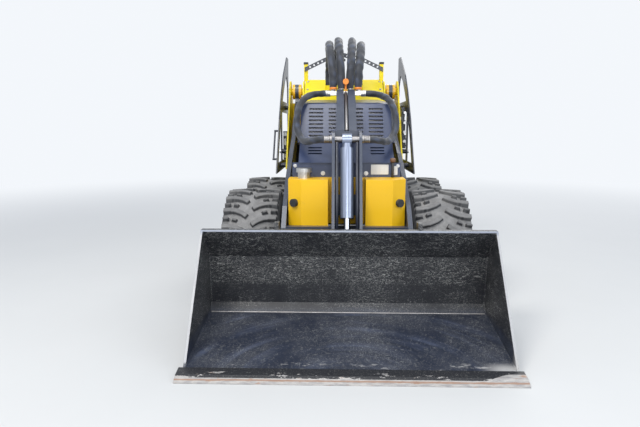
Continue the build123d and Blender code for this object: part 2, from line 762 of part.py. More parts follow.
# Bucket: a bent shell between two side plates
with BuildPart() as bucket_shell:
    with BuildSketch(side_plane(-bucket_half)):
        with BuildLine():
            Polyline(*bucket_inside)
            offset(amount=bucket_plate, side=Side.RIGHT)
        make_face()
    extrude(amount=2 * bucket_half)
    for name, side in SIDES:
        with BuildSketch(side_plane(side * bucket_half)):
            Polygon((-893, 24), (-891.7, 16.2), (-525.7, 76.2), (-490, 115), (-505, 314), (-598, 435),
                    (-604, 430), align=None)
        extrude(amount=-side * bucket_plate)
        with BuildSketch(side_plane(side * arm_middle)):
            Polygon((-571, 400), (-560, 456), (-520, 456), (-498, 330), (-520, 330), align=None)
        extrude(amount=side * 17)
    with BuildSketch(side_plane(-bucket_half)):
        Polygon((-604, 430), (-598, 435), (-570, 435), (-570, 398), (-577, 398), align=None)
    extrude(amount=2 * bucket_half)
save(bucket_shell, "bucket_shell")

with BuildPart() as cutting_edge:
    with BuildSketch(side_plane(-edge_half)):
        Polygon((cutting_edge_y, 0), (cutting_edge_y + 1, 4), (-930, 18), (-893.2, 24), (-891.9, 15.9),
                (-891, 11.3), align=None)
    extrude(amount=2 * edge_half)
save(cutting_edge, "cutting_edge")

# Hitch: a plate against the bucket's back, cheeks on the arms' pins and lugs for the rod's pin
hitch_half = arm_inner - 14
hitch_plate = 10
cheek = 12
lug_inner = 16
with BuildPart() as hitch_frame:
    with BuildSketch(side_plane(-hitch_half)):
        Polygon((-489.7, 119), (-504, 306), (-494, 307), (-479.7, 119), align=None)
    extrude(amount=2 * hitch_half)
    for name, side in SIDES:
        with BuildSketch(side_plane(side * hitch_half)):
            Polygon((-483, 119), (-496, 300), (-470, 300), (-374, 160), (-374, 119), align=None)
            with Locations(hitch_pivot):
                Circle(30)
        extrude(amount=-side * cheek)
        with BuildSketch(side_plane(side * lug_inner)):
            Polygon((-485, 190), (-496, 300), (-420, 274), (-410, 228), align=None)
            with Locations(rod_pivot):
                Circle(24)
        extrude(amount=side * 12)
        with BuildSketch(Plane(origin=(side * (lug_inner - 0.4), *rod_pivot), z_dir=(side, 0, 0))):
            Circle(12)
        extrude(amount=22)
        with BuildSketch(Plane(origin=(side * (hitch_half - cheek), *hitch_pivot), z_dir=(side, 0, 0))):
            Circle(hitch_pin_radius)
        extrude(amount=arm_outer - hitch_half + cheek + 4)
save(hitch_frame, "hitch_frame")

# Tilt cylinder
tilt_axis = Plane(origin=(0, *tilt_pivot),
                  z_dir=(0, rod_pivot[0] - tilt_pivot[0], rod_pivot[1] - tilt_pivot[1]), x_dir=(1, 0, 0))
tilt_length = math.dist(tilt_pivot, rod_pivot)
tilt_eye_width = 40
with BuildPart() as tilt_barrel:
    with BuildSketch(tilt_axis.offset(40)):
        Circle(tilt_barrel_radius)
    extrude(amount=tilt_barrel_reach - 40)
    with BuildSketch(side_plane(-tilt_eye_width / 2)):
        with Locations(tilt_pivot):
            Circle(25)
        Polygon(along(tilt_pivot, rod_pivot, 0), along(tilt_pivot, rod_pivot, 42),
                (along(tilt_pivot, rod_pivot, 42)[0] + 20, along(tilt_pivot, rod_pivot, 42)[1] - 6),
                (tilt_pivot[0] + 20, tilt_pivot[1]), align=None)
    extrude(amount=tilt_eye_width)
    with BuildSketch(tilt_axis.offset(20)):
        Circle(20)
    extrude(amount=24)
    with BuildSketch(side_plane(-tilt_eye_width / 2)):
        with Locations(tilt_pivot):
            Circle(13 + running_fit)
    extrude(amount=tilt_eye_width, mode=Mode.SUBTRACT)
    with BuildSketch(tilt_axis.offset(tilt_barrel_reach)):
        Circle(tilt_rod_radius + running_fit)
    extrude(amount=-(tilt_barrel_reach - 60), mode=Mode.SUBTRACT)
save(tilt_barrel, "tilt_barrel")

with BuildPart() as tilt_rod:
    with BuildSketch(tilt_axis.offset(tilt_length)):
        Circle(tilt_rod_radius)
    extrude(amount=-(tilt_length - tilt_rod_start))
    with BuildSketch(side_plane(-15)):
        with Locations(rod_pivot):
            Circle(20)
    extrude(amount=30)
save(tilt_rod, "tilt_rod")

# Lift cylinders, one under each arm
lift_length = math.dist(lift_base_pivot, lift_arm_pivot)
lift_barrel_reach = lift_length - lift_closed_gap
lift_rise = (lift_arm_pivot[0] - lift_base_pivot[0], lift_arm_pivot[1] - lift_base_pivot[1])
for name, side in SIDES:
    lift_axis = Plane(origin=(side * arm_middle, *lift_base_pivot),
                      z_dir=(0, *lift_rise), x_dir=(1, 0, 0))
    with BuildPart() as lift_barrel:
        with BuildSketch(lift_axis.offset(16)):
            Circle(lift_barrel_radius)
        extrude(amount=lift_barrel_reach - 16)
        with BuildSketch(side_plane(side * (arm_middle - 15))):
            with Locations(lift_base_pivot):
                Circle(23)
        extrude(amount=side * 30)
        with BuildSketch(side_plane(side * (arm_middle - 15))):
            with Locations(lift_base_pivot):
                Circle(lift_pin_radius + running_fit)
        extrude(amount=side * 30, mode=Mode.SUBTRACT)
        with BuildSketch(lift_axis.offset(lift_barrel_reach)):
            Circle(lift_rod_radius + running_fit)
        extrude(amount=-(lift_barrel_reach - 30), mode=Mode.SUBTRACT)
    save(lift_barrel, f"lift_barrel_{name}")
    with BuildPart() as lift_rod:
        with BuildSketch(lift_axis.offset(lift_length)):
            Circle(lift_rod_radius)
        extrude(amount=-(lift_length - 38))
        with BuildSketch(side_plane(side * arm_middle - lift_eye_half)):
            with Locations(lift_arm_pivot):
                Circle(20)
        extrude(amount=2 * lift_eye_half)
    save(lift_rod, f"lift_rod_{name}")
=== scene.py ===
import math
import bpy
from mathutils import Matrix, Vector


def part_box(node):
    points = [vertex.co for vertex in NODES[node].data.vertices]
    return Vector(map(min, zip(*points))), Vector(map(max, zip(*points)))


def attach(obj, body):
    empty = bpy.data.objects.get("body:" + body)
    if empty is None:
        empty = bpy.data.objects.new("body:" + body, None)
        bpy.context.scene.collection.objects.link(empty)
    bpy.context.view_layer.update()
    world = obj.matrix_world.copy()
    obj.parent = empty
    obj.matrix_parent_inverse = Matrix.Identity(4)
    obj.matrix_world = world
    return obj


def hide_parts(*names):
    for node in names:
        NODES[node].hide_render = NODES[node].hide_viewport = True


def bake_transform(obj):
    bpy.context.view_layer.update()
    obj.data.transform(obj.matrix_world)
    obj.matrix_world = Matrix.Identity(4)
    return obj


bl_info = {
    "name": "Mini wheel loader",
    "version": (1, 0, 0),
    "blender": (4, 5, 0),
    "location": "3D View > Sidebar > Loader",
    "description": "Dresses the packed mini wheel loader: finishes, tyres, hoses, fittings and a studio",
    "category": "Object",
}

import bmesh
import bpy
import numpy as np
from mathutils import Vector

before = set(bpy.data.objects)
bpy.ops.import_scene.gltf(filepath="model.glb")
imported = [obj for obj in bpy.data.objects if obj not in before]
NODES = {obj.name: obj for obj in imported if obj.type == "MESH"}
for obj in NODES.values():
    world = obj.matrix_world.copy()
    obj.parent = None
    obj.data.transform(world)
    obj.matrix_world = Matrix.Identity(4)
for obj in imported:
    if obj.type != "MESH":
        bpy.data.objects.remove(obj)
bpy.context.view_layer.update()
SIDES = (("left", -1), ("right", 1))
WHEELS = (("front_left", -1), ("front_right", 1), ("rear_left", -1), ("rear_right", 1))
WHEEL_RADIUS = 0.266
MM = 0.001


# Meshes

def full_turn(count):
    """Even angles round a full turn."""
    return np.arange(count) * 2 * math.pi / count


def quads_of_grid(rows, columns, close_rows=False):
    """Corner numbers of the quads between neighbouring rows and columns; the columns always close on themselves."""
    row = np.arange(rows if close_rows else rows - 1)[:, None]
    column = np.arange(columns)[None, :]
    this_row, next_row = row * columns, (row + 1) % rows * columns
    next_column = (column + 1) % columns
    corners = (this_row + column, this_row + next_column, next_row + next_column, next_row + column)
    return np.stack(corners, axis=-1).reshape(-1, 4)


def new_piece(name, points, quads, finish, body=None, smooth=True, values=None):
    """A mesh from arrays, its doubles merged and its faces pointing outwards, riding on a body."""
    mesh = bpy.data.meshes.new(name)
    mesh.vertices.add(len(points))
    mesh.vertices.foreach_set("co", np.asarray(points, np.float32).ravel())
    mesh.loops.add(quads.size)
    mesh.loops.foreach_set("vertex_index", np.asarray(quads, np.int32).ravel())
    mesh.polygons.add(len(quads))
    mesh.polygons.foreach_set("loop_start", np.arange(0, quads.size, 4, dtype=np.int32))
    mesh.update(calc_edges=True)
    for label, numbers in (values or {}).items():
        layer = mesh.attributes.new(label, "FLOAT", "POINT")
        layer.data.foreach_set("value", np.asarray(numbers, np.float32).ravel())
    work = bmesh.new()
    work.from_mesh(mesh)
    bmesh.ops.remove_doubles(work, verts=work.verts, dist=2e-6)
    bmesh.ops.recalc_face_normals(work, faces=work.faces)
    work.to_mesh(mesh)
    work.free()
    mesh.polygons.foreach_set("use_smooth", np.full(len(mesh.polygons), smooth))
    mesh.update()
    piece = bpy.data.objects.new(name, mesh)
    bpy.context.scene.collection.objects.link(piece)
    mesh.materials.append(bpy.data.materials[finish])
    if body:
        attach(piece, body)
    return piece


def axis_frame(direction):
    """A rotation for each direction, whose third column is that direction, all worked out at once."""
    z = np.asarray(direction, float).reshape(-1, 3)
    z = z / np.linalg.norm(z, axis=1, keepdims=True)
    helper = np.where(np.abs(z[:, 2:3]) < 0.9, [[0.0, 0.0, 1.0]], [[1.0, 0.0, 0.0]])
    x = np.cross(helper, z)
    x = x / np.linalg.norm(x, axis=1, keepdims=True)
    return np.stack((x, np.cross(z, x), z), axis=-1)


def turned(profile, sides):
    """A profile of (height, radius) pairs carried round the third axis: x = r cos a, y = r sin a, z = height."""
    height, radius = np.asarray(profile, float).T[:, :, None]
    angle = full_turn(sides)
    points = np.stack((radius * np.cos(angle), radius * np.sin(angle), np.repeat(height, sides, axis=1)), axis=-1)
    return points.reshape(-1, 3), quads_of_grid(len(height), sides)


def repeated(points, quads, places, directions, scale=1.0):
    """The same small shape at every place: each copy is turned to its direction, scaled and moved, as one array.

    One direction or one scale serves every place.
    """
    places = np.asarray(places, float).reshape(-1, 3)
    scale = np.broadcast_to(np.asarray(scale, float), len(places))[:, None, None]
    copies = np.einsum("nij,pj->npi", axis_frame(directions), points) * scale + places[:, None, :]
    numbers = quads[None, :, :] + (np.arange(len(places)) * len(points))[:, None, None]
    return copies.reshape(-1, 3), numbers.reshape(-1, 4)


def turned_copies(name, profile, sides, places, directions, finish, body, scale=1.0, smooth=True):
    """One turned shape at every place, as one piece."""
    points, quads = repeated(*turned(profile, sides), places, directions, scale)
    return new_piece(name, points, quads, finish, body, smooth)


def straight_tube(start, end, radius, sides=20):
    """A round bar from start to end, its rims eased, as points and quads."""
    start, end = np.array(start, float), np.array(end, float)
    length = np.linalg.norm(end - start)
    ease = 0.12 * radius
    profile = ((0, 0), (0, radius - ease), (ease, radius), (length - ease, radius), (length, radius - ease),
               (length, 0))
    return repeated(*turned(profile, sides), [start], [end - start])


def joined(shapes):
    """Several (points, quads) as one."""
    counts = np.cumsum([0] + [len(points) for points, _ in shapes])
    return (np.concatenate([points for points, _ in shapes]),
            np.concatenate([quads + offset for (_, quads), offset in zip(shapes, counts)]))


def rounded_plate(width, height, thickness, corner):
    """A thin plate with rounded corners and edges: its outline is four quarter circles, drawn in at the top."""
    quarter = np.linspace(0, math.pi / 2, 5)
    x, y = width / 2 - corner, height / 2 - corner
    outline = np.concatenate([np.column_stack((cx + corner * np.cos(quarter + k * math.pi / 2),
                                               cy + corner * np.sin(quarter + k * math.pi / 2)))
                              for k, (cx, cy) in enumerate(((x, y), (-x, y), (-x, -y), (x, -y)))])
    # Share of the outline, share of the thickness
    rings = ((0.0, 0.0), (1.0, 0.0), (1.0, 0.75), (0.985, 1.0), (0.0, 1.0))
    points = np.stack([np.column_stack((outline * share, np.full(len(outline), thickness * level)))
                       for share, level in rings])
    return points.reshape(-1, 3), quads_of_grid(len(rings), len(outline))


def upright_plate(name, centre, facing, size, finish, corner=0.003):
    """A rounded plate (width, height, thickness) that stands up and looks along y; facing is the sign of its way."""
    points, quads = rounded_plate(*size, corner)
    return new_piece(name, points[:, (0, 2, 1)] * (-facing, facing, 1) + centre, quads, finish, "chassis", False)


def smooth_step(value, low, high):
    """0 below low, 1 above high, and 3t^2 - 2t^3 between."""
    t = np.clip((value - low) / (high - low), 0, 1)
    return t * t * (3 - 2 * t)


# Shader node groups

class Nodes:
    """Adds nodes to one tree and joins them."""

    def __init__(self, tree):
        self.tree = tree

    def add(self, kind, settings=None, *numbered, **named):
        """A node with its settings; its inputs are given in order or by name."""
        node = self.tree.nodes.new(kind)
        for label, value in (settings or {}).items():
            setattr(node, label, value)
        for socket, value in (*enumerate(numbered), *named.items()):
            self.put(node, socket, value)
        return node

    def put(self, node, socket, value):
        """Links or sets one input, found by its name or number."""
        if isinstance(value, bpy.types.NodeSocket):
            self.tree.links.new(value, node.inputs[socket])
        else:
            node.inputs[socket].default_value = value

    def math(self, operation, *values, clamp=False):
        return self.add("ShaderNodeMath", {"operation": operation, "use_clamp": clamp}, *values).outputs[0]

    def times(self, first, *others, clamp=False):
        """The product of the values, clamped at the end where asked."""
        for value in others[:-1]:
            first = self.math("MULTIPLY", first, value)
        return self.math("MULTIPLY", first, others[-1], clamp=clamp)

    def scaled(self, value, factor, offset):
        return self.math("MULTIPLY_ADD", value, factor, offset)

    def inverse(self, value):
        return self.math("SUBTRACT", 1.0, value)

    def mix(self, kind, share, first, second, socket, out):
        node = self.add("ShaderNodeMix", {"data_type": kind}, share)
        self.put(node, socket, first)
        self.put(node, socket + 1, second)
        return node.outputs[out]

    def blend(self, share, first, second):
        """A colour: the first where the share is 0, the second where it is 1."""
        return self.mix("RGBA", share, first, second, 6, 2)

    def blend_value(self, share, first, second):
        """A number: the first where the share is 0, the second where it is 1."""
        return self.mix("FLOAT", share, first, second, 2, 0)

    def noise(self, vector, scale, detail, roughness, distortion=0.0):
        return self.add("ShaderNodeTexNoise", Vector=vector, Scale=scale, Detail=detail, Roughness=roughness,
                        Distortion=distortion).outputs["Fac"]

    def ramp(self, value, low, high):
        """0 below low, 1 above high, smooth between."""
        limits = {"From Min": low, "From Max": high}
        return self.add("ShaderNodeMapRange", {"interpolation_type": "SMOOTHSTEP"}, value, **limits).outputs["Result"]

    def patches(self, vector, low, high, *noise):
        """Noise, given by its scale, detail, roughness and distortion, cut to patches with soft edges."""
        return self.ramp(self.noise(vector, *noise), low, high)

    def measure(self, operation, *vectors):
        return self.add("ShaderNodeVectorMath", {"operation": operation}, *vectors).outputs["Value"]

    def place(self):
        return self.add("ShaderNodeTexCoord").outputs["Object"]

    def mapped(self, vector, **changes):
        return self.add("ShaderNodeMapping", Vector=vector, **changes).outputs["Vector"]

    def axes(self, vector):
        return self.add("ShaderNodeSeparateXYZ", None, vector).outputs

    def attribute(self, name):
        return self.add("ShaderNodeAttribute", {"attribute_name": name}).outputs["Fac"]


COLOUR, NUMBER = "NodeSocketColor", "NodeSocketFloat"


def new_group(name, inputs, outputs):
    """An empty shader group with named sockets; returns its node adder, its inputs and its output node."""
    group = bpy.data.node_groups.new(name, "ShaderNodeTree")
    for label, kind, default in inputs:
        group.interface.new_socket(label, in_out="INPUT", socket_type=kind).default_value = default
    for label, kind in outputs:
        group.interface.new_socket(label, in_out="OUTPUT", socket_type=kind)
    nodes = Nodes(group)
    return nodes, nodes.add("NodeGroupInput").outputs, nodes.add("NodeGroupOutput")


def dust_group():
    """Dust that lies thicker on faces that look up and in soft patches: two noises times the upward share."""
    n, given, out = new_group(
        "Dust", (("Color", COLOUR, (0.5, 0.5, 0.5, 1)), ("Roughness", NUMBER, 0.5),
                 ("Dust", COLOUR, (0.30, 0.27, 0.23, 1)), ("Amount", NUMBER, 0.5), ("Scale", NUMBER, 9.0)),
        (("Color", COLOUR), ("Roughness", NUMBER)))
    place = n.place()
    clouds = n.patches(place, 0.35, 0.75, given["Scale"], 6.0, 0.65)
    grains = n.patches(place, 0.35, 0.7, 420.0, 2.0, 0.7)
    up = n.axes(n.add("ShaderNodeNewGeometry").outputs["Normal"])["Z"]
    upward = n.scaled(n.ramp(up, -0.2, 0.9), 0.65, 0.35)
    share = n.times(clouds, upward, n.scaled(grains, 0.5, 0.5), given["Amount"], clamp=True)
    n.put(out, "Color", n.blend(share, given["Color"], given["Dust"]))
    n.put(out, "Roughness", n.blend_value(share, given["Roughness"], 0.92))


def wear_group():
    """Scratches and chips down to another colour: long thin noise streaks plus small speckles above a threshold."""
    n, given, out = new_group(
        "Wear", (("Color", COLOUR, (0.05, 0.05, 0.05, 1)), ("Bare", COLOUR, (0.4, 0.39, 0.37, 1)),
                 ("Scratches", NUMBER, 0.3), ("Specks", NUMBER, 0.3), ("Scale", NUMBER, 30.0)),
        (("Color", COLOUR), ("Mask", NUMBER)))
    place = n.place()
    streaks = [n.patches(n.mapped(place, Rotation=turn, Scale=stretch), 0.66, 0.72, given["Scale"], 3.0, 0.7, 0.4)
               for turn, stretch in (((0.4, 0.9, 0.2), (1.0, 9.0, 2.0)), ((1.1, 0.3, 0.8), (8.0, 1.2, 1.0)))]
    scratches = n.times(n.math("MAXIMUM", *streaks), given["Scratches"])
    large = n.patches(place, 0.4, 0.62, 5.0, 3.0, 0.6)
    small = n.patches(place, 0.56, 0.66, n.times(given["Scale"], 8.0), 3.0, 0.75)
    mask = n.math("MAXIMUM", scratches, n.times(small, large, given["Specks"]), clamp=True)
    n.put(out, "Color", n.blend(mask, given["Color"], given["Bare"]))
    n.put(out, "Mask", mask)


def skin_group():
    """Orange peel and shallow waves of painted plate, as a height: fine noise plus broad noise."""
    n, given, out = new_group("Paint skin", (("Peel", NUMBER, 0.5), ("Waves", NUMBER, 0.5)),
                              (("Height", NUMBER),))
    place = n.place()
    fine = n.times(n.noise(place, 700.0, 2.0, 0.5), given["Peel"])
    broad = n.times(n.noise(place, 14.0, 2.0, 0.5), given["Waves"])
    n.put(out, "Height", n.math("ADD", fine, broad))


# Materials

GREY_DUST = (0.26, 0.26, 0.27, 1)


def rgba(colour, gain=1.0):
    """The colour, lighter or darker by a gain, with full alpha."""
    return (*[min(c * gain, 1.0) for c in colour[:3]], 1.0)


def use_group(n, name, **values):
    """The outputs of the named group, placed in a material with its own values."""
    return n.add("ShaderNodeGroup", {"node_tree": bpy.data.node_groups[name]}, **values).outputs


def new_material(name, colour):
    """A material's node adder and shader; the colour also shows in the plain 3D view."""
    material = bpy.data.materials.new(name)
    material.use_nodes = True
    material.diffuse_color = rgba(colour)
    material.node_tree.nodes.clear()
    n = Nodes(material.node_tree)
    shader = n.add("ShaderNodeBsdfPrincipled")
    n.add("ShaderNodeOutputMaterial", Surface=shader.outputs["BSDF"])
    return n, shader


def dusted(n, shader, colour, roughness, dust, amount, scale):
    """Feeds the shader a colour and roughness under a film of dust."""
    film = use_group(n, "Dust", Color=colour, Roughness=roughness, Dust=dust, Amount=amount, Scale=scale)
    n.put(shader, "Base Color", film["Color"])
    n.put(shader, "Roughness", film["Roughness"])


def bump(n, shader, height, strength, distance):
    """Feeds a height to the shader's normal."""
    node = n.add("ShaderNodeBump", Height=height, Strength=strength, Distance=distance)
    n.put(shader, "Normal", node.outputs["Normal"])


def paint_skin(n, shader, waves):
    bump(n, shader, use_group(n, "Paint skin", Peel=0.35, Waves=waves)["Height"], 0.12, 0.002)


def painted(name, colour, roughness, dust, scratches, specks, coat=0.0, bare=(0.42, 0.41, 0.40), metallic=0.0,
            waves=0.6, specular=0.5):
    """Paint over steel: a slightly uneven colour, scratches, dust, orange peel and an optional clear coat."""
    n, shader = new_material(name, colour)
    shade = n.blend(n.noise(n.place(), 3.0, 3.0, 0.5), rgba(colour, 0.88), rgba(colour, 1.10))
    wear = use_group(n, "Wear", Color=shade, Bare=rgba(bare), Scratches=scratches, Specks=specks, Scale=22.0)
    dusted(n, shader, wear["Color"], n.scaled(wear["Mask"], 0.25, roughness), GREY_DUST, dust, 7.0)
    for label, value in (("Metallic", metallic), ("Specular IOR Level", specular), ("Coat Weight", coat),
                         ("Coat Roughness", 0.12)):
        n.put(shader, label, value)
    paint_skin(n, shader, waves)


# The boom's bosses, in metres: an arm's middle plane, the cheeks' distance from it, their radius and the boom's pin
ARM_MIDDLE, CHEEK_FACE, CHEEK_RADIUS, BOOM_PIN = 0.268, 0.0106, 0.0435, (0, 0.545, 1.020)


def arm_material(settings):
    """Arm paint, lighter and bluer than the frame's as a painted sky sheen, with worn edges; the cheeks of the boom's
    bosses carry the cowl's shaded yellow, painted shade of the towers' walls.
    """
    n, shader = new_material("arm paint", settings.arm_colour)
    place = n.place()
    off_middle = n.math("ABSOLUTE", n.math("SUBTRACT", n.math("ABSOLUTE", n.axes(place)["X"]), ARM_MIDDLE))
    from_pin = n.measure("DISTANCE", n.mapped(place, Scale=(0, 1, 1)), BOOM_PIN)
    # The cheeks are painted shade: the towers' yellow as it looks in shade, put on the arm's bosses.
    cheek = n.times(n.math("GREATER_THAN", off_middle, CHEEK_FACE), n.math("LESS_THAN", from_pin, CHEEK_RADIUS))
    shade = n.blend(n.noise(place, 4.0, 3.0, 0.5), rgba(settings.arm_colour, 0.85), rgba(settings.arm_colour, 1.2))
    wear = use_group(n, "Wear", Color=shade, Bare=(0.26, 0.28, 0.31, 1), Scratches=0.35, Specks=0.2, Scale=24.0)
    colour = n.blend(cheek, wear["Color"], rgba(settings.cowl_shaded_colour))
    dusted(n, shader, colour, 0.32, GREY_DUST, 0.18, 8.0)
    n.put(shader, "Coat Weight", 0.2)
    paint_skin(n, shader, 0.5)


def wiping_marks(n, place, x):
    """Noise that follows ellipses round the middle of the bucket floor's front edge, in clouds."""
    ring = n.measure("LENGTH", n.mapped(place, Location=(0, 0.97, 0), Scale=(0.72, 1.0, 0.0)))
    arcs = n.add("ShaderNodeCombineXYZ", None, n.times(ring, 26.0), n.times(x, 1.6), 0.0).outputs["Vector"]
    polish = n.patches(arcs, 0.42, 0.72, 1.0, 5.0, 0.65, 0.3)
    return n.times(polish, n.patches(place, 0.36, 0.7, 3.4, 4.0, 0.6, 0.5))


def chip_marks(n, place, x, z, floor_share):
    """Pale speckles and long chips, dense on the upper back and the side walls and thin on the floor; the step at z
    0.195 also paints the light and shade of a fold in the back that the shell lacks.
    """
    side_wall = n.ramp(n.math("ABSOLUTE", x), 0.547, 0.551)
    # Above z 0.195 the back is lighter: painted light above a fold that the shell lacks and painted shade below it,
    # together with real chips.
    upper = n.math("MAXIMUM", n.ramp(z, 0.185, 0.205), side_wall)
    spread = n.scaled(n.patches(place, 0.30, 0.66, 5.5, 4.0, 0.65), 0.75, 0.30)
    dense = n.math("MAXIMUM", upper, n.times(n.patches(place, 0.36, 0.72, 6.0, 5.0, 0.75), 0.6))
    dense = n.math("SUBTRACT", n.times(dense, spread, clamp=True), floor_share, clamp=True)
    speckles = n.times(n.patches(place, 0.55, 0.63, 170.0, 5.0, 0.85, 0.6), 0.35)
    stretched = n.mapped(place, Rotation=(0.2, 0.5, 0.3), Scale=(1.0, 1.0, 3.2))
    chips = n.patches(stretched, 0.555, 0.60, 62.0, 4.0, 0.75, 1.6)
    amount = n.math("MAXIMUM", dense, n.times(spread, 0.26, floor_share))
    return n.times(n.math("MAXIMUM", speckles, chips), amount)


# The plane of the bucket's opening, as (y, z): from the floor's front edge to the lip
OPENING_LOW, OPENING_HIGH = (-0.893, 0.024), (-0.604, 0.430)


def bare_rim(n, place, z):
    """A ragged bare line where a point's distance from the plane of the bucket's opening is small."""
    low, high = Vector(OPENING_LOW), Vector(OPENING_HIGH)
    run = (high - low).normalized()
    along_normal = n.measure("DOT_PRODUCT", place, (0, run.y, -run.x))
    gap = n.math("ABSOLUTE", n.math("SUBTRACT", along_normal, low.x * run.y - low.y * run.x))
    ragged = n.scaled(n.noise(place, 60.0, 3.0, 0.6), 0.004, 0.0003)
    return n.times(n.math("LESS_THAN", gap, ragged), n.ramp(z, 0.030, 0.040))


def dried_soil(n, place, x):
    """Patches of dried soil, thicker towards the right corner."""
    cloud = n.noise(n.mapped(place, Scale=(1.0, 3.0, 3.0)), 7.0, 5.0, 0.7)
    corner = n.times(n.ramp(x, 0.42, 0.52), n.ramp(cloud, 0.36, 0.46))
    return n.math("MAXIMUM", n.ramp(cloud, 0.55, 0.62), corner)


def bucket_material(settings):
    """Black paint scoured by loads: speckled on the back, polished on the floor, bare along the opening's edge; the
    floor, the polish and the lip's top are tinted blue as painted sky sheen.
    """
    n, shader = new_material("bucket worn paint", settings.bucket_colour)
    place = n.place()
    x, y, z = n.axes(place)
    floor_share = n.inverse(n.ramp(z, 0.075, 0.11))
    # The floor's bluish black is painted sky sheen on paint that faces up.
    ground = n.blend(floor_share, rgba(settings.bucket_colour), (0.013, 0.018, 0.034, 1))
    # The polish marks are real wear; their blue-grey is painted sky sheen.
    base = n.blend(n.times(wiping_marks(n, place, x), floor_share), ground, (0.075, 0.092, 0.145, 1))
    wear = use_group(n, "Wear", Color=base, Bare=(0.30, 0.30, 0.29, 1), Scratches=0.5, Specks=0.6, Scale=26.0)
    speckled = n.blend(chip_marks(n, place, x, z, floor_share), wear["Color"], (0.36, 0.36, 0.34, 1))
    # The lip's top is blue-grey as painted sky sheen on worn steel; lower down the bare rim is plain grey steel.
    rim = n.blend(n.ramp(z, 0.415, 0.43), (0.50, 0.50, 0.51, 1), (0.32, 0.35, 0.42, 1))
    worn = n.blend(n.times(bare_rim(n, place, z), 0.85), speckled, rim)
    front = n.ramp(y, -0.84, -0.885)
    soiled = n.blend(n.times(front, dried_soil(n, place, x)), worn, (0.42, 0.41, 0.40, 1))
    dusted(n, shader, soiled, 0.40, (0.16, 0.165, 0.175, 1), 0.30, 5.0)
    dents = n.scaled(n.noise(place, 160.0, 3.0, 0.6), 0.12, n.noise(place, 9.0, 3.0, 0.5))
    bump(n, shader, dents, 0.35, 0.004)


def edge_material(settings):
    """The cutting edge: worn paint behind, bare steel with a rusty line along its bevel, pale chips between."""
    n, shader = new_material("cutting edge steel", settings.edge_colour)
    place = n.place()
    x, y, _ = n.axes(place)
    along = n.mapped(place, Scale=(1.0, 4.0, 4.0))
    ragged = n.noise(along, 11.0, 5.0, 0.75)
    reach = n.scaled(n.ramp(ragged, 0.57, 0.66), 0.028, -0.941)
    bare = n.math("LESS_THAN", y, n.math("ADD", reach, n.times(n.ramp(x, 0.43, 0.53), 0.03)))
    from_bevel = n.math("ABSOLUTE", n.math("ADD", n.scaled(ragged, 0.010, y), 0.943))
    blooms = n.patches(along, 0.56, 0.68, 19.0, 5.0, 0.7)
    rust = n.times(n.math("ADD", n.inverse(n.ramp(from_bevel, 0.001, 0.005)), blooms, clamp=True), 0.75)
    pale = n.blend(n.patches(along, 0.35, 0.65, 30.0, 4.0, 0.7), rgba(settings.edge_colour), (0.50, 0.48, 0.46, 1))
    speckles = n.times(n.patches(place, 0.55, 0.63, 190.0, 5.0, 0.85, 0.6), 0.35)
    paint_left = n.blend(speckles, rgba(settings.bucket_colour), (0.30, 0.30, 0.28, 1))
    n.put(shader, "Base Color", n.blend(bare, paint_left, n.blend(rust, pale, (0.30, 0.15, 0.075, 1))))
    n.put(shader, "Roughness", n.blend_value(bare, 0.42, 0.62))
    n.put(shader, "Metallic", n.times(n.math("SUBTRACT", bare, rust, clamp=True), 0.5))
    bump(n, shader, n.noise(place, 120.0, 5.0, 0.7), 0.5, 0.002)


def tyre_material(settings):
    """Dusty rubber: lug_rise is 0 between lugs and 1 on their tops, on_tread is 0 on the flanks and 1 on the tread."""
    n, shader = new_material("tyre rubber dusty", settings.tyre_colour)
    place = n.place()
    rise, tread = n.attribute("lug_rise"), n.attribute("on_tread")
    cloud = n.noise(place, 12.0, 6.0, 0.7)
    grain = n.noise(place, 260.0, 3.0, 0.7)
    # The lugs' flanks stay dark and free of dust: painted shade under the lugs, together with the clean rubber of the
    # flanks.
    wall = n.times(n.ramp(rise, 0.02, 0.22), n.inverse(n.ramp(rise, 0.72, 0.97)))
    patch = n.scaled(n.ramp(cloud, 0.3, 0.7), 0.45, 0.45)
    dust = n.times(patch, n.scaled(tread, 0.62, 0.38), n.scaled(grain, 0.5, 0.7),
                   n.inverse(n.times(rise, 0.30)), n.inverse(wall), clamp=True)
    n.put(shader, "Base Color", n.blend(dust, rgba(settings.tyre_colour), rgba(settings.dust_colour, 1.25)))
    n.put(shader, "Roughness", n.blend_value(dust, 0.5, 0.95))
    bump(n, shader, n.scaled(grain, 0.4, n.times(cloud, 0.6)), 0.35, 0.0015)


def sleeve_material(settings):
    """Woven hose sleeve: fine crossing threads from its UV map; the attribute crease lightens the folds' crests and
    darkens their troughs, as painted highlight and painted shade.
    """
    n, shader = new_material("hose sleeve", settings.hose_colour)
    u, v, _ = n.axes(n.add("ShaderNodeUVMap", {"uv_map": "UVMap"}).outputs["UV"])
    threads = [n.math("SINE", n.scaled(u, 90.0, n.times(v, sign * 620.0))) for sign in (1.0, -1.0)]
    # Painted highlight on the crests and painted shade in the troughs, their strength varied in patches by this noise.
    fade = n.patches(n.place(), 0.35, 0.75, 16.0, 4.0, 0.6)
    crests = n.times(n.ramp(n.attribute("crease"), -0.1, 0.75), n.scaled(fade, 0.5, 0.5))
    cloth = n.blend(crests, rgba(settings.hose_colour, 0.7), rgba(settings.hose_colour, 4.6))
    dusted(n, shader, cloth, 0.62, (0.20, 0.20, 0.21, 1), 0.35, 11.0)
    n.put(shader, "Sheen Weight", 0.25)
    n.put(shader, "Sheen Roughness", 0.5)
    bump(n, shader, n.times(*threads), 0.35, 0.0006)


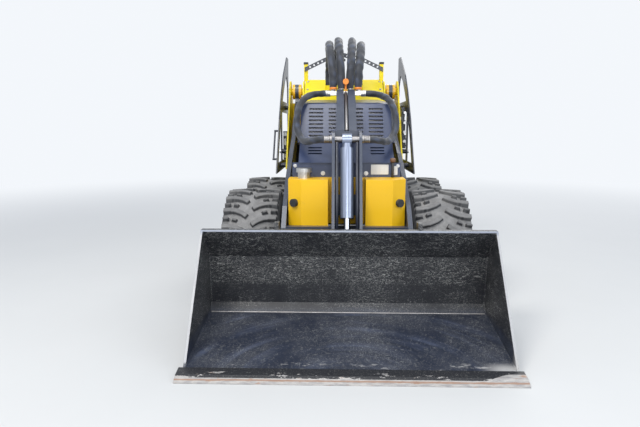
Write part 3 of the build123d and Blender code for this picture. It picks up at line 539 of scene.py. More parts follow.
def metal_material(name, colour, roughness, dirt, brushed=0.3):
    """Bare or plated metal with fine lines and a little grime."""
    n, shader = new_material(name, colour)
    place = n.place()
    streak = n.noise(n.mapped(place, Scale=(6.0, 60.0, 60.0)), 12.0, 3.0, 0.6)
    grime = n.times(n.patches(place, 0.5, 0.75, 28.0, 4.0, 0.7), dirt)
    tint = n.blend(streak, rgba(colour, 0.85), rgba(colour))
    n.put(shader, "Base Color", n.blend(grime, tint, (0.10, 0.08, 0.06, 1)))
    n.put(shader, "Roughness", n.scaled(streak, brushed * 0.3, roughness))
    n.put(shader, "Metallic", n.inverse(n.times(grime, 0.8)))
    bump(n, shader, streak, 0.08 * brushed, 0.001)


def plastic_material(name, colour, roughness):
    """Moulded plastic with a fine leathery grain."""
    n, shader = new_material(name, colour)
    dusted(n, shader, rgba(colour), roughness, (0.30, 0.28, 0.25, 1), 0.3, 14.0)
    cells = n.add("ShaderNodeTexVoronoi", Vector=n.place(), Scale=620.0).outputs["Distance"]
    bump(n, shader, cells, 0.2, 0.0005)


# Settings

def colour_setting(name, text, default):
    return bpy.props.FloatVectorProperty(name=name, description=text, subtype="COLOR", size=3, min=0, max=1,
                                         default=default)


def length_setting(name, text, default):
    return bpy.props.FloatProperty(name=name, description=text, default=default, subtype="DISTANCE", unit="LENGTH")


class LoaderPaintSettings(bpy.types.PropertyGroup):
    """Colours of the loader's finishes."""

    # The panel's lemon and the cowl's golden are one yellow paint as it looks lit and in shade: painted light on the
    # panel, painted shade on the cowl.
    panel_colour: colour_setting("Panel yellow", "Paint of the console panel, towers and posts", (0.97, 0.74, 0.012))
    cowl_shaded_colour: colour_setting("Cowl shaded yellow", "Paint of the front cowl", (0.93, 0.53, 0.008))
    # The blacks are tinted blue, the hood's most and the arm's lightest: painted sky sheen on black paint.
    frame_colour: colour_setting("Frame black", "Paint of the chassis and guards", (0.016, 0.020, 0.034))
    arm_colour: colour_setting("Arm black with painted sheen", "Paint of the arms and the tilt bracket", (0.040, 0.050, 0.078))
    hood_colour: colour_setting("Hood black with painted sheen", "Paint of the hood", (0.032, 0.048, 0.108))
    bucket_colour: colour_setting("Bucket black", "Paint left in the bucket", (0.009, 0.010, 0.014))
    edge_colour: colour_setting("Edge steel", "Steel of the cutting edge", (0.34, 0.33, 0.33))
    tyre_colour: colour_setting("Rubber", "Rubber of the tyres", (0.040, 0.041, 0.044))
    dust_colour: colour_setting("Tyre dust", "Dust between the lugs", (0.27, 0.265, 0.26))
    hose_colour: colour_setting("Hose sleeve", "Cloth sleeve of the hoses", (0.011, 0.015, 0.026))
    rim_colour: colour_setting("Rim paint", "Paint of the wheel rims", (0.55, 0.55, 0.53))
    knob_colour: colour_setting("Knob orange", "Plastic of the knob and hose caps", (0.80, 0.24, 0.02))


class LoaderSizeSettings(bpy.types.PropertyGroup):
    """Sizes of the pieces that the dressing adds."""

    lug_count: bpy.props.IntProperty(name="Lugs in a row", description="Tyre lugs in each of the two rows",
                                     default=20, min=16, max=24)
    sleeve_radius: length_setting("Loop hose radius", "Outer radius of the loop hoses", 0.0165)
    arch_radius: length_setting("Arch hose radius", "Outer radius of the arching hoses", 0.0215)
    wrinkle: bpy.props.FloatProperty(name="Sleeve wrinkles", description="Wrinkles' depth as a share of the radius",
                                     default=0.13, subtype="FACTOR", min=0, max=0.2)
    bolt_radius: length_setting("Bolt head", "Radius of a large bolt head over its corners", 0.0105)


def paint():
    return bpy.context.scene.loader_paint


def sizes():
    return bpy.context.scene.loader_sizes


# Operators

class LoaderOperator:
    """What the loader's operators share."""

    bl_options = {"REGISTER", "UNDO"}


# The CAD nodes that show, under their finishes
NODE_FINISHES = {
    "frame paint": ("chassis_frame", "guard_left", "guard_right", "platform", "console", "side_box",
                    "valve_block", "guard_handle", "lift_barrel_left", "lift_barrel_right", "grab_rail"),
    "arm paint": ("arm_left", "arm_right", "cross_member", "tilt_bracket", "hose_mast", "hitch_frame"),
    "hood paint": ("hood", "bulkhead"),
    "panel paint": ("console_panel", "tower_left", "tower_right", "rail_posts", "boom_pins"),
    "cowl shaded paint": ("front_cowl",),
    "cylinder sheen paint": ("tilt_barrel",),
    "rim paint": tuple("rim_" + wheel for wheel, _ in WHEELS),
    "bucket worn paint": ("bucket_shell",),
    "cutting edge steel": ("cutting_edge",),
    "rod chrome": ("tilt_rod", "lift_rod_left", "lift_rod_right"),
    "pin steel": ("tilt_pin", "wheel_motors"),
    "fitting metal": ("manifold", "filler_cap"),
    "engine iron": ("engine",),
    "black plastic": ("control_levers", "post_caps"),
    "stop rubber": ("boom_stops",),
    "knob plastic": ("manifold_knob",),
}


class LOADER_OT_finishes(LoaderOperator, bpy.types.Operator):
    """Makes the finishes and gives every CAD node its own"""

    bl_idname = "loader.finishes"
    bl_label = "Finishes"

    def execute(self, context):
        p = paint()
        dust_group()
        wear_group()
        skin_group()
        # The blue in the frame's and the hood's blacks is painted sky sheen.
        # Name, colour, roughness, dust, scratches, specks
        painted("frame paint", p.frame_colour, 0.36, 0.16, 0.22, 0.12, coat=0.15)
        painted("hood paint", p.hood_colour, 0.34, 0.12, 0.12, 0.08, coat=0.2)
        painted("panel paint", p.panel_colour, 0.48, 0.08, 0.10, 0.08, coat=0.05, bare=(0.36, 0.27, 0.10),
                specular=0.3)
        # The cowl's paint is the panel's yellow, darker and more orange: painted shade.
        painted("cowl shaded paint", p.cowl_shaded_colour, 0.42, 0.06, 0.10, 0.06, coat=0.08, bare=(0.40, 0.24, 0.08),
                specular=0.35)
        # The tilt barrel's glossy black paint is drawn light blue-grey and half metal: a painted sky reflection.
        painted("cylinder sheen paint", (0.27, 0.31, 0.41), 0.22, 0.06, 0.05, 0.02, coat=0.3, waves=0.15, metallic=0.55)
        painted("rim paint", p.rim_colour, 0.4, 0.8, 0.25, 0.3, coat=0.15, bare=(0.20, 0.13, 0.08))
        painted("engine iron", (0.055, 0.055, 0.06), 0.6, 0.7, 0.1, 0.3)
        painted("plate white", (0.70, 0.71, 0.72), 0.35, 0.25, 0.15, 0.15, coat=0.1, bare=(0.35, 0.35, 0.35))
        for material in (arm_material, bucket_material, edge_material, tyre_material, sleeve_material):
            material(p)
        # Name, colour, roughness, dirt
        metal_material("rod chrome", (0.78, 0.79, 0.82), 0.07, 0.12, brushed=0.15)
        metal_material("pin steel", (0.34, 0.33, 0.33), 0.38, 0.6)
        metal_material("fitting metal", (0.66, 0.65, 0.63), 0.30, 0.35)
        metal_material("bolt zinc", (0.60, 0.60, 0.60), 0.34, 0.3)
        # Name, colour, roughness
        plastic_material("black plastic", (0.022, 0.022, 0.025), 0.5)
        plastic_material("stop rubber", (0.020, 0.022, 0.026), 0.68)
        plastic_material("brown plastic", (0.16, 0.075, 0.035), 0.5)
        plastic_material("pad vinyl", (0.018, 0.018, 0.020), 0.45)
        plastic_material("knob plastic", p.knob_colour, 0.42)
        for finish, nodes in NODE_FINISHES.items():
            for node in nodes:
                slots = NODES[node].data.materials
                slots.clear()
                slots.append(bpy.data.materials[finish])
        return {"FINISHED"}


# Lugs on the unrolled tread, in mm: the height as a share, then the corners (across, along), of the long lug and of
# the two blocks behind it
LUG_SHAPES = (
    (1.00, ((4, 11), (28, -8), (60, -22), (92, -27), (122, -26), (122, -3), (92, -3), (66, 2), (40, 14), (17, 32))),
    (0.85, ((50, 34), (76, 25), (79, 39), (56, 49))),
    (0.85, ((89, 22), (122, 19), (122, 34), (91, 37))),
)
# The tyre's section in mm, as (across, radius): a flank and the tread, each as three points of an arc, the steps up
# to the tread's left edge, and the inside
FLANK = ((-103, 146), (-130, 188), (-118, 228))
TREAD = ((-118, 228), (0, 251), (118, 228))
EDGE_STEPS = ((-117.98, 228.25), (-117.96, 228.3))
INSIDE = ((98, 127.3), (84, 127.3), (89, 152), (104, 200), (96, 224), (0, 225), (-96, 224), (-104, 200),
          (-89, 152), (-84, 127.3), (-98, 127.3))
RIB_RADII, RIB_HEIGHT, RIB_WIDTH = (158, 168, 205), 0.9, 1.6
TREAD_FROM = 227.9
LUG_TOP, LUG_TOP_FALL = 266, 0.00035
TYRE_STEPS = 560


def inside_polygon(across, along, corners):
    """Signed distance to a polygon, negative outside: the least distance to its edges, signed by the crossing rule."""
    best = np.full(across.shape, 1e9)
    inside = np.zeros(across.shape, bool)
    for start, end in zip(corners, np.roll(corners, -1, axis=0)):
        run = end - start
        x, y = across - start[0], along - start[1]
        share = np.clip((x * run[0] + y * run[1]) / (run @ run), 0, 1)
        best = np.minimum(best, np.hypot(x - share * run[0], y - share * run[1]))
        inside ^= ((start[1] > along) != (end[1] > along)) & (
            across < run[0] * y / (run[1] if run[1] else 1e-9) + start[0])
    return np.where(inside, best, -best)


def arc(start, middle, end, count):
    """Points on the circle through three points: the centre is equally far from all three."""
    (ax, ay), (bx, by), (cx, cy) = start, middle, end
    a, b, c = ax**2 + ay**2, bx**2 + by**2, cx**2 + cy**2
    d = 2 * (ax * (by - cy) + bx * (cy - ay) + cx * (ay - by))
    ux = (a * (by - cy) + b * (cy - ay) + c * (ay - by)) / d
    uy = (a * (cx - bx) + b * (ax - cx) + c * (bx - ax)) / d
    radius = math.hypot(ax - ux, ay - uy)
    first, mid, last = (math.atan2(y - uy, x - ux) for x, y in (start, middle, end))
    turn = (last - first + math.pi) % (2 * math.pi) - math.pi
    if abs((mid - first + math.pi) % (2 * math.pi) - math.pi) > abs(turn):
        turn -= math.copysign(2 * math.pi, turn)
    angle = first + turn * np.linspace(0, 1, count)
    return np.column_stack((ux + radius * np.cos(angle), uy + radius * np.sin(angle)))


def tyre_profile():
    """The tyre's closed section: flank with its ribs, steps, tread, the same on the other side, inside."""
    flank = arc(*FLANK, 22)
    flank[:, 0] -= RIB_HEIGHT * np.exp(-((flank[:, 1:2] - np.array([RIB_RADII])) / RIB_WIDTH) ** 2).sum(axis=1)
    by_edge = 0.4 * np.arange(4)
    crown_x = np.concatenate((-117.6 + by_edge, np.linspace(-115, 115, 74), 116.4 + by_edge))
    crown = np.column_stack((crown_x, np.interp(crown_x, *arc(*TREAD, 200).T)))
    side = np.concatenate((flank, EDGE_STEPS))
    return np.concatenate((side, crown, side[::-1] * (-1, 1), INSIDE))


def lug_rise(across, angle, lug_count):
    """How far each point stands in a lug, 0 to 1: a soft step of its distance inside the lug's outline.

    A point of the unrolled tread is (across, angle times the wheel's radius). It is tried against the lug of its
    own pitch and of both neighbours, and the right row is half a pitch on from the left one.
    """
    pitch = 2 * math.pi / lug_count
    rise = np.zeros_like(across)
    for row, shift in ((-1, 0.0), (1, 0.5)):
        local = (angle / pitch - shift + 0.5) % 1.0 - 0.5
        for neighbour in (-1, 0, 1):
            along = np.broadcast_to((local + neighbour) * pitch * WHEEL_RADIUS / MM, across.shape)
            for height, corners in LUG_SHAPES:
                gap = inside_polygon(np.abs(across), along, np.array(corners, float))
                gap = np.where(across * row > 0, gap, -9.0)
                rise = np.maximum(rise, height * smooth_step(gap, -0.4, 2.4))
    return rise


def tyre_surface(lug_count):
    """One treaded tyre round the x axis, in metres, with its rise and its share of tread.

    Round the wheel by angle a, a point of the section is (across, r sin a, r cos a). On the tread r is raised from
    the carcass towards the lug's top, which falls with the square of across.
    """
    profile = tyre_profile()
    angle = full_turn(TYRE_STEPS)
    across, radius = (np.repeat(column[:, None], TYRE_STEPS, axis=1) for column in profile.T)
    on_tread = (radius > TREAD_FROM).astype(float)
    rise = lug_rise(across, angle, lug_count) * on_tread
    radius = radius + rise * (LUG_TOP - LUG_TOP_FALL * across**2 - radius) * (0.985 + 0.015 * rise)
    points = np.stack((across, radius * np.sin(angle), radius * np.cos(angle)), axis=-1) * MM
    return points.reshape(-1, 3), quads_of_grid(len(profile), TYRE_STEPS, True), rise.ravel(), on_tread.ravel()


class LOADER_OT_tyres(LoaderOperator, bpy.types.Operator):
    """Puts a treaded rubber tyre over each plain one"""

    bl_idname = "loader.tyres"
    bl_label = "Tyres"

    def execute(self, context):
        points, quads, rise, on_tread = tyre_surface(sizes().lug_count)
        for wheel, side in WHEELS:
            low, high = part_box("tyre_" + wheel)
            centre = (low + high) / 2
            placed = points * (side, side, 1) + (centre.x, centre.y, WHEEL_RADIUS)
            tyre = new_piece("tread_" + wheel, placed, quads, "tyre rubber dusty", "wheel_" + wheel,
                             values={"lug_rise": rise, "on_tread": on_tread})
            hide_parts("tyre_" + wheel)
        return {"FINISHED"}


# The hoses' routes, in mm, as in the part's source
LOOP_ROUTE = ((73, 48, 980), (118, 48, 980), (168, 22, 973), (207, -46, 942), (226, -98, 882), (228, -126, 820),
              (208, -154, 773), (178, -212, 752), (128, -272, 768), (74, -272, 768))
ARCH_PROFILE = ((48, 1003), (48, 1068), (76, 1146), (138, 1216), (226, 1260), (322, 1252), (410, 1200), (470, 1128),
                (470, 1050))
# How far each point has moved from the manifold's x to the top's x, and its share of the crown's drop
ARCH_SPREAD = (0, 0, 0.5, 0.9, 1.05, 1.1, 1.05, 1, 1)
ARCH_CROWN = (0, 0, 0.35, 0.8, 1, 1, 0.8, 0.3, 0)
# Each arching hose: x at the manifold, x on top, x at the console, how much lower its crown is
ARCH_ROWS = ((-60, -80, -86, 20), (-21, -34, -41, 2), (21, 34, 41, 4), (60, 80, 86, 24))


def numbers_of(items, key, width, kind=float):
    """One property of every item of a mesh, as rows of that many numbers."""
    values = np.zeros(len(items) * width, kind)
    items.foreach_get(key, values)
    return values.reshape(-1, width)


def smooth_route(points):
    """Points along the NURBS spline that has the route's points as its control points, in metres."""
    curve = bpy.data.curves.new("route", "CURVE")
    curve.dimensions = "3D"
    curve.resolution_u = 14
    spline = curve.splines.new("NURBS")
    spline.points.add(len(points) - 1)
    spline.points.foreach_set("co", np.column_stack((np.asarray(points, float) * MM, np.ones(len(points)))).ravel())
    spline.order_u = 3
    spline.use_endpoint_u = True
    holder = bpy.data.objects.new("route", curve)
    bpy.context.scene.collection.objects.link(holder)
    bpy.context.view_layer.update()
    mesh = bpy.data.meshes.new_from_object(holder)
    line = numbers_of(mesh.vertices, "co", 3)
    bpy.data.objects.remove(holder)
    bpy.data.curves.remove(curve)
    bpy.data.meshes.remove(mesh)
    return line


def even_steps(line, step):
    """The line's points at even steps of arc length, with the lengths."""
    length = np.concatenate(((0,), np.cumsum(np.linalg.norm(np.diff(line, axis=0), axis=1))))
    at = np.linspace(0, length[-1], max(int(length[-1] / step), 8))
    return np.stack([np.interp(at, length, line[:, axis]) for axis in range(3)], axis=-1), at


def rings_along(line):
    """Two directions square to the line at each point, carried along it so that they never twist."""
    tangent = np.gradient(line, axis=0)
    tangent /= np.linalg.norm(tangent, axis=1, keepdims=True)
    first = np.empty_like(tangent)
    first[0] = axis_frame(tangent[0])[0][:, 0]
    for index in range(1, len(line)):
        carried = first[index - 1] - tangent[index] * (first[index - 1] @ tangent[index])
        first[index] = carried / np.linalg.norm(carried)
    return first, np.cross(tangent, first)


def wrap_uv(hose, line, at, first, second):
    """The UV map: u once round, v in metres along the hose, from each vertex's nearest ring and its angle."""
    vertices = numbers_of(hose.data.vertices, "co", 3)
    ring = np.argmin(((vertices[:, None, :] - line[None, ::2, :]) ** 2).sum(axis=2), axis=1) * 2
    away = vertices - line[ring]
    turn = np.arctan2((away * second[ring]).sum(axis=1), (away * first[ring]).sum(axis=1)) / (2 * math.pi)
    corners = numbers_of(hose.data.loops, "vertex_index", 1, np.int32)[:, 0]
    uv = np.column_stack((turn, at[ring]))[corners]
    hose.data.uv_layers.new(name="UVMap").data.foreach_set("uv", uv.astype(np.float32).ravel())


def sleeved_hose(name, route, radius, seed, sides=28):
    """A cloth-sleeved hose: rings round the route's spline.

    The radius is the sleeve's, pinched at both ends, times 1 plus wrinkles: sines along the hose whose phase wanders
    round it, and three long folds that come and go, so that creases run slantwise and differ from hose to hose.
    """
    line, at = even_steps(smooth_route(route), 0.0028)
    first, second = rings_along(line)
    s, a = at[:, None], full_turn(sides)[None, :]
    folds = 0.4 * (np.sin(s / 0.0068 + 1.6 * np.sin(a + seed) + seed * 2.1) * (0.55 + 0.45 * np.sin(s / 0.043 + seed)) +
             0.6 * np.sin(s / 0.0161 + 1.1 * np.cos(2 * a + seed * 1.7)) +
             0.9 * np.sin(3 * a + s / 0.031 + seed) * np.sin(s / 0.052 + 2 * seed))
    ends = smooth_step(np.minimum(s, at[-1] - s), 0.0, 0.05)
    size = radius * (0.80 + 0.12 * ends + sizes().wrinkle * folds * ends)
    points = line[:, None, :] + size[..., None] * (first[:, None, :] * np.cos(a)[..., None] +
                                                   second[:, None, :] * np.sin(a)[..., None])
    capped = np.concatenate((np.repeat(line[:1, None, :], sides, axis=1), points,
                             np.repeat(line[-1:, None, :], sides, axis=1)))
    crease = np.concatenate((folds[:1], folds, folds[-1:]))
    hose = new_piece(name, capped.reshape(-1, 3), quads_of_grid(len(capped), sides), "hose sleeve",
                     values={"crease": crease})
    wrap_uv(hose, line, at, first, second)
    return hose


# A crimped collar, as (height, radius) in mm from the hose's end outwards, and the hose radius that it is drawn for
COLLAR = ((0, 0), (0, 15.5), (1.5, 17), (6, 17), (6.8, 15.8), (9, 15.8), (9.8, 17), (14, 17), (14.8, 15.8),
          (17, 15.8), (17.8, 17), (23, 17), (24.5, 15.5), (24.5, 0))
COLLAR_HOSE = 0.0165


def collars(name, places, directions, radius, body, finish):
    """Crimped collars on hose ends, as one mesh."""
    profile = np.array(COLLAR) * MM * (1.0, radius / COLLAR_HOSE)
    return turned_copies(name, profile, 32, places, directions, finish, body, smooth=False)


class LOADER_OT_arch_hoses(LoaderOperator, bpy.types.Operator):
    """Four sleeved hoses that arch from the manifold on the boom to the console"""

    bl_idname = "loader.arch_hoses"
    bl_label = "Arching hoses"

    def execute(self, context):
        for number, (foot, top, end, drop) in enumerate(ARCH_ROWS, 1):
            route = [(foot + (top - foot) * share, y, z - drop * crown)
                     for share, crown, (y, z) in zip(ARCH_SPREAD, ARCH_CROWN, ARCH_PROFILE)]
            route[-2:] = [(end, y, z) for _, y, z in route[-2:]]
            hose = sleeved_hose(f"arch_sleeve_{number}", route, sizes().arch_radius, 1.3 * number)
            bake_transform(hose)
            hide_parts(f"arch_hose_{number}")
        feet = [(row[0] * MM, 0.048, 1.0005) for row in ARCH_ROWS]
        collars("arch_collars_boom", feet, (0, 0, 1), 0.0158, "boom", "fitting metal")
        tops = [(row[2] * MM, 0.470, 1.0755) for row in ARCH_ROWS]
        collars("arch_collars_console", tops, (0, 0, -1), 0.0178, "chassis", "black plastic")
        return {"FINISHED"}


class LOADER_OT_loop_hoses(LoaderOperator, bpy.types.Operator):
    """Two sleeved hoses that loop from the manifold down to the tilt cylinder's pin"""

    bl_idname = "loader.loop_hoses"
    bl_label = "Looping hoses"

    def execute(self, context):
        for name, side in SIDES:
            route = [(side * x, y, z) for x, y, z in LOOP_ROUTE]
            hose = sleeved_hose(f"loop_sleeve_{name}", route, sizes().sleeve_radius, 2.2 + side)
            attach(hose, "boom")
            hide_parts(f"loop_hose_{name}")
        ways = [(side, 0, 0) for _, side in SIDES]
        for name, (x, y, z), finish in (("loop_collars_top", (0.073, 0.048, 0.980), "fitting metal"),
                                        ("loop_collars_foot", (0.0742, -0.272, 0.768), "pin steel")):
            collars(name, [(side * x, y, z) for _, side in SIDES], ways, 0.0150, "boom", finish)
        return {"FINISHED"}


# A hexagon head with a washer under it, as (height, radius) for six sides and for many
HEAD = ((0.13, 0), (0.13, 1.0), (0.75, 1.0), (0.85, 0.88), (0.85, 0))
WASHER = ((-0.02, 0), (-0.02, 1.28), (0.14, 1.28), (0.14, 0))
# The chassis bolts, in metres: x, the (y, z) of each, their direction on the right side, and their share of the
# large bolt's radius, for the guards, the console panel's slope and the rear
SIDE_BOLTS = (
    (0.342, ((0.232, 0.620), (0.600, 0.620), (0.560, 0.930), (0.312, 0.690)), (1, 0, 0), 1.0),
    (0.205, ((0.470, 1.0278), (0.385, 0.9726), (0.545, 1.0767)), (0, -0.545, 0.838), 0.55),
    (0.235, ((0.664, 0.30), (0.664, 0.52)), (1, 0, 0), 0.9),
)
# The axles' y, and the rings of bolts round them: x and radius
AXLES = (-0.095, 0.480)
MOTOR_BOLTS, WHEEL_NUTS = (0.247, 0.064), (0.421, 0.072)


def hex_bolts(name, places, directions, radii, body, finish="bolt zinc"):
    """Hexagon heads on washers at every place, as one mesh."""
    points, quads = repeated(*joined((turned(HEAD, 6), turned(WASHER, 18))), places, directions, radii)
    return new_piece(name, points, quads, finish, body, smooth=False)


def ring_of_places(x, y, radius, angles):
    """Places round an axle: (x, y + r cos a, axle's height + r sin a)."""
    return [(x, y + radius * math.cos(a), WHEEL_RADIUS + radius * math.sin(a)) for a in angles]


class LOADER_OT_bolts(LoaderOperator, bpy.types.Operator):
    """Bolt heads on the bulkhead, guards, console panel, rear, motors and wheels"""

    bl_idname = "loader.bolts"
    bl_label = "Bolts"

    def execute(self, context):
        large = sizes().bolt_radius
        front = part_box("bulkhead")[0].y
        rows = [((x, front, z), (0, -1, 0), share)
                for x, z, share in ((-0.104, 0.617, 0.72), (0.088, 0.617, 0.72), (-0.228, 0.650, 0.6),
                                    (0.228, 0.650, 0.6))]
        for _, side in SIDES:
            rows += [((side * x, y, z), (side * way[0], *way[1:]), share)
                     for x, spots, way, share in SIDE_BOLTS for y, z in spots]
        places, ways, shares = zip(*rows)
        hex_bolts("chassis_bolts", places, ways, large * np.array(shares), "chassis")
        x, radius = MOTOR_BOLTS
        rings = [ring_of_places(side * x, y, radius, full_turn(6) + 0.3) for _, side in SIDES for y in AXLES]
        ways = np.repeat([(side, 0, 0) for _, side in SIDES], 12, axis=0)
        hex_bolts("motor_bolts", np.concatenate(rings), ways, large * 0.75, "chassis", "pin steel")
        x, radius = WHEEL_NUTS
        for wheel, side in WHEELS:
            low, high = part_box("rim_" + wheel)
            nuts = ring_of_places(side * x, (low.y + high.y) / 2, radius, full_turn(5))
            hex_bolts("wheel_nuts_" + wheel, nuts, (side, 0, 0), large * 0.95, "wheel_" + wheel)
        return {"FINISHED"}


# Turned fittings, as (height, radius) in metres
NUT = ((0, 0), (0, 0.0165), (0.003, 0.018), (0.012, 0.018), (0.015, 0.0165), (0.015, 0))
CAP_RING = ((0, 0), (0, 0.0165), (0.002, 0.0185), (0.010, 0.0185), (0.012, 0.0165), (0.012, 0))
GRIP = ((0, 0), (0, 0.008), (0.002, 0.0115), (0.010, 0.0125), (0.016, 0.0115), (0.018, 0.008), (0.018, 0))
BEZEL = ((0, 0), (0, 0.025), (0.005, 0.025), (0.0075, 0.0235), (0.0075, 0.0205), (0.0045, 0.0195), (0.0045, 0))
SWITCH = ((0, 0), (0, 0.012), (0.004, 0.012), (0.006, 0.0105), (0.006, 0.0045), (0.020, 0.0045), (0.022, 0.003),
          (0.022, 0))


class LOADER_OT_fittings(LoaderOperator, bpy.types.Operator):
    """Pipes on the mast and bracket, hose adapters, the dipstick and the valve block's adapters"""

    bl_idname = "loader.fittings"
    bl_label = "Fittings"

    def execute(self, context):
        new_piece("mast_pipe", *straight_tube((0, -0.226, 0.803), (0, 0.024, 0.9815), 0.0078, 24), "pin steel",
                  "boom")
        pipes = [straight_tube((side * 0.0435, -0.2915, 0.756), (side * 0.0435, -0.409, 0.388), 0.0072)
                 for _, side in SIDES]
        new_piece("bracket_pipes", *joined(pipes), "frame paint", "boom")
        turned_copies("manifold_end_nuts", NUT, 6, [(side * 0.0735, 0.048, 0.980) for _, side in SIDES],
                      [(side, 0, 0) for _, side in SIDES], "bolt zinc", "boom", 0.82, smooth=False)
        turned_copies("manifold_orange_rings", CAP_RING, 28, [(side * 0.060, 0.048, 0.9975) for _, side in SIDES],
                      (0, 0, 1), "knob plastic", "boom")
        x, y, top = 0.204, -0.2265, 0.667
        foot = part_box("front_cowl")[1].z - 0.0005
        new_piece("dipstick_tube", *straight_tube((x, y, foot), (x, y, top + 0.001), 0.0055), "black plastic",
                  "chassis")
        turned_copies("dipstick_grip", GRIP, 24, (x, y, top), (0, 0, 1), "brown plastic", "chassis")
        low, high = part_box("valve_block")
        places = [(0.320, low.y - 0.0002, low.z + share * (high.z - low.z)) for share in (0.86, 0.62, 0.40, 0.18)]
        turned_copies("valve_adapters", NUT, 6, places, (0, -1, 0), "bolt zinc", "chassis", 0.5, smooth=False)
        return {"FINISHED"}


# The platform's lozenges: their spacing, rows across and along, first row's y and the deck's height in metres
TREAD_STEP, TREAD_ROWS, TREAD_START, DECK = 0.0335, (13, 7), 0.722, 0.203


class LOADER_OT_platform_tread(LoaderOperator, bpy.types.Operator):
    """Raised lozenges on the standing platform, in alternate directions"""

    bl_idname = "loader.platform_tread"
    bl_label = "Platform tread"

    def execute(self, context):
        dome, quads = turned(((-0.3, 0), (-0.3, 1), (0, 1), (0.5, 0.86), (0.85, 0.52), (1, 0)), 12)
        long, wide, high = (dome * (0.0125, 0.0036, 0.0017)).T[:, None, :]
        row, column = (grid.reshape(-1, 1) for grid in np.indices(TREAD_ROWS))
        turn = np.where((row + column) % 2 == 0, 1.0, -1.0)
        x = (long - turn * wide) * math.sqrt(0.5) + (row - TREAD_ROWS[0] // 2) * TREAD_STEP
        y = (turn * long + wide) * math.sqrt(0.5) + TREAD_START + column * TREAD_STEP
        points = np.stack((x, y, np.broadcast_to(high, x.shape) + DECK), axis=-1)
        numbers = quads[None] + (np.arange(len(turn)) * len(dome))[:, None, None]
        new_piece("platform_tread", points.reshape(-1, 3), numbers.reshape(-1, 4), "frame paint", "chassis")
        return {"FINISHED"}


# The hood's slope as (y, z) of its foot and head, the slot columns across it, and the wires' spacing and radius
SLOPE_FOOT, SLOPE_HEAD = np.array((-0.0935, 0.7715)), np.array((-0.0125, 0.9235))
SLOT_COLUMNS = ((0.044, 0.083), (0.103, 0.177))
WIRE_STEP, WIRE_RADIUS = 0.013, 0.0008


class LOADER_OT_grille_mesh(LoaderOperator, bpy.types.Operator):
    """Crossed wires behind the slots of the hood's slope"""

    bl_idname = "loader.grille_mesh"
    bl_label = "Grille mesh"

    def execute(self, context):
        # On the slope's own axes: u across, v up the slope; each wire is u - u0 = sign (v - v0), cut to its column
        length = np.linalg.norm(SLOPE_HEAD - SLOPE_FOOT)
        up = np.array((0, *(SLOPE_HEAD - SLOPE_FOOT) / length))
        wires = []
        for low, high in SLOT_COLUMNS:
            for _, side in SIDES:
                for sign in (-1, 1):
                    offset = np.arange(low - length, high + length, WIRE_STEP)
                    cuts = (low - offset, high - offset) if sign > 0 else (offset - high, offset - low)
                    start, end = np.clip(cuts, 0, length)
                    for u, *cut in zip(offset, start, end):
                        if cut[1] - cut[0] > 0.006:
                            ends = [np.array((side * (u + sign * v), SLOPE_FOOT[0] - sign * 0.0006, SLOPE_FOOT[1]))
                                    + up * v for v in cut]
                            wires.append(straight_tube(*ends, WIRE_RADIUS, 6))
        new_piece("grille_wires", *joined(wires), "pin steel", "chassis")
        return {"FINISHED"}


class LOADER_OT_instruments(LoaderOperator, bpy.types.Operator):
    """A bare instrument plate with two dials and a switch on the console's rear face"""

    bl_idname = "loader.instruments"
    bl_label = "Instruments"

    def execute(self, context):
        rear, height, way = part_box("console")[1].y, 1.012, (0, 1, 0)
        upright_plate("instrument_plate", (0, rear - 0.0004, height), 1, (0.30, 0.074, 0.003), "frame paint", 0.008)
        turned_copies("instrument_dials", BEZEL, 40, [(x, rear + 0.002, height) for x in (-0.095, -0.030)], way,
                      "black plastic", "chassis")
        turned_copies("instrument_switch", SWITCH, 28, (0.045, rear + 0.002, height), way, "bolt zinc", "chassis")
        places = [(x, rear + 0.0024, height + up) for x in (-0.138, 0.138) for up in (-0.028, 0.028)]
        hex_bolts("instrument_bolts", places, way, 0.0045, "chassis")
        return {"FINISHED"}


class LOADER_OT_knee_pad(LoaderOperator, bpy.types.Operator):
    """The padded rest on the console's rear face, with a piped seam and two sewn channels"""

    bl_idname = "loader.knee_pad"
    bl_label = "Knee pad"

    def execute(self, context):
        # Rings: share of the outline, share of the depth. The outline is a superellipse of the seventh power, and
        # the channels are two bell-shaped grooves across the front
        low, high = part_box("knee_pad")
        crown = np.linspace(0, 1, 22)[1:] * math.pi / 2
        rings = [(0, 0), (0.6, 0), (0.965, 0), (0.99, 0.06), (0.995, 0.12), (0.975, 0.155), (0.992, 0.19)]
        rings += [(0.992 * math.cos(t) ** 0.55, 0.19 + 0.81 * math.sin(t) ** 0.9) for t in crown]
        share, depth = np.array(rings).T[:, :, None]
        sides = 160
        angle = full_turn(sides)
        middle, half = (low + high) / 2, (high - low) / 2
        across = np.sign(np.cos(angle)) * np.abs(np.cos(angle)) ** (2 / 7)
        up = np.sign(np.sin(angle)) * np.abs(np.sin(angle)) ** (2 / 7)
        x = half.x * share * across * (1 - 0.018 * (1 - up**2))
        z = half.z * share * up * (1 - 0.022 * (1 - across**2))
        channel = np.exp(-((np.abs(z) - 0.042) / 0.0055) ** 2) * smooth_step(depth, 0.3, 0.6) * 0.007
        y = low.y + (high.y - low.y) * depth - channel
        points = np.stack((middle.x + x, y, middle.z + z), axis=-1)
        pad = new_piece("knee_cushion", points.reshape(-1, 3), quads_of_grid(len(rings), sides), "pad vinyl",
                        "chassis")
        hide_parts("knee_pad")
        return {"FINISHED"}


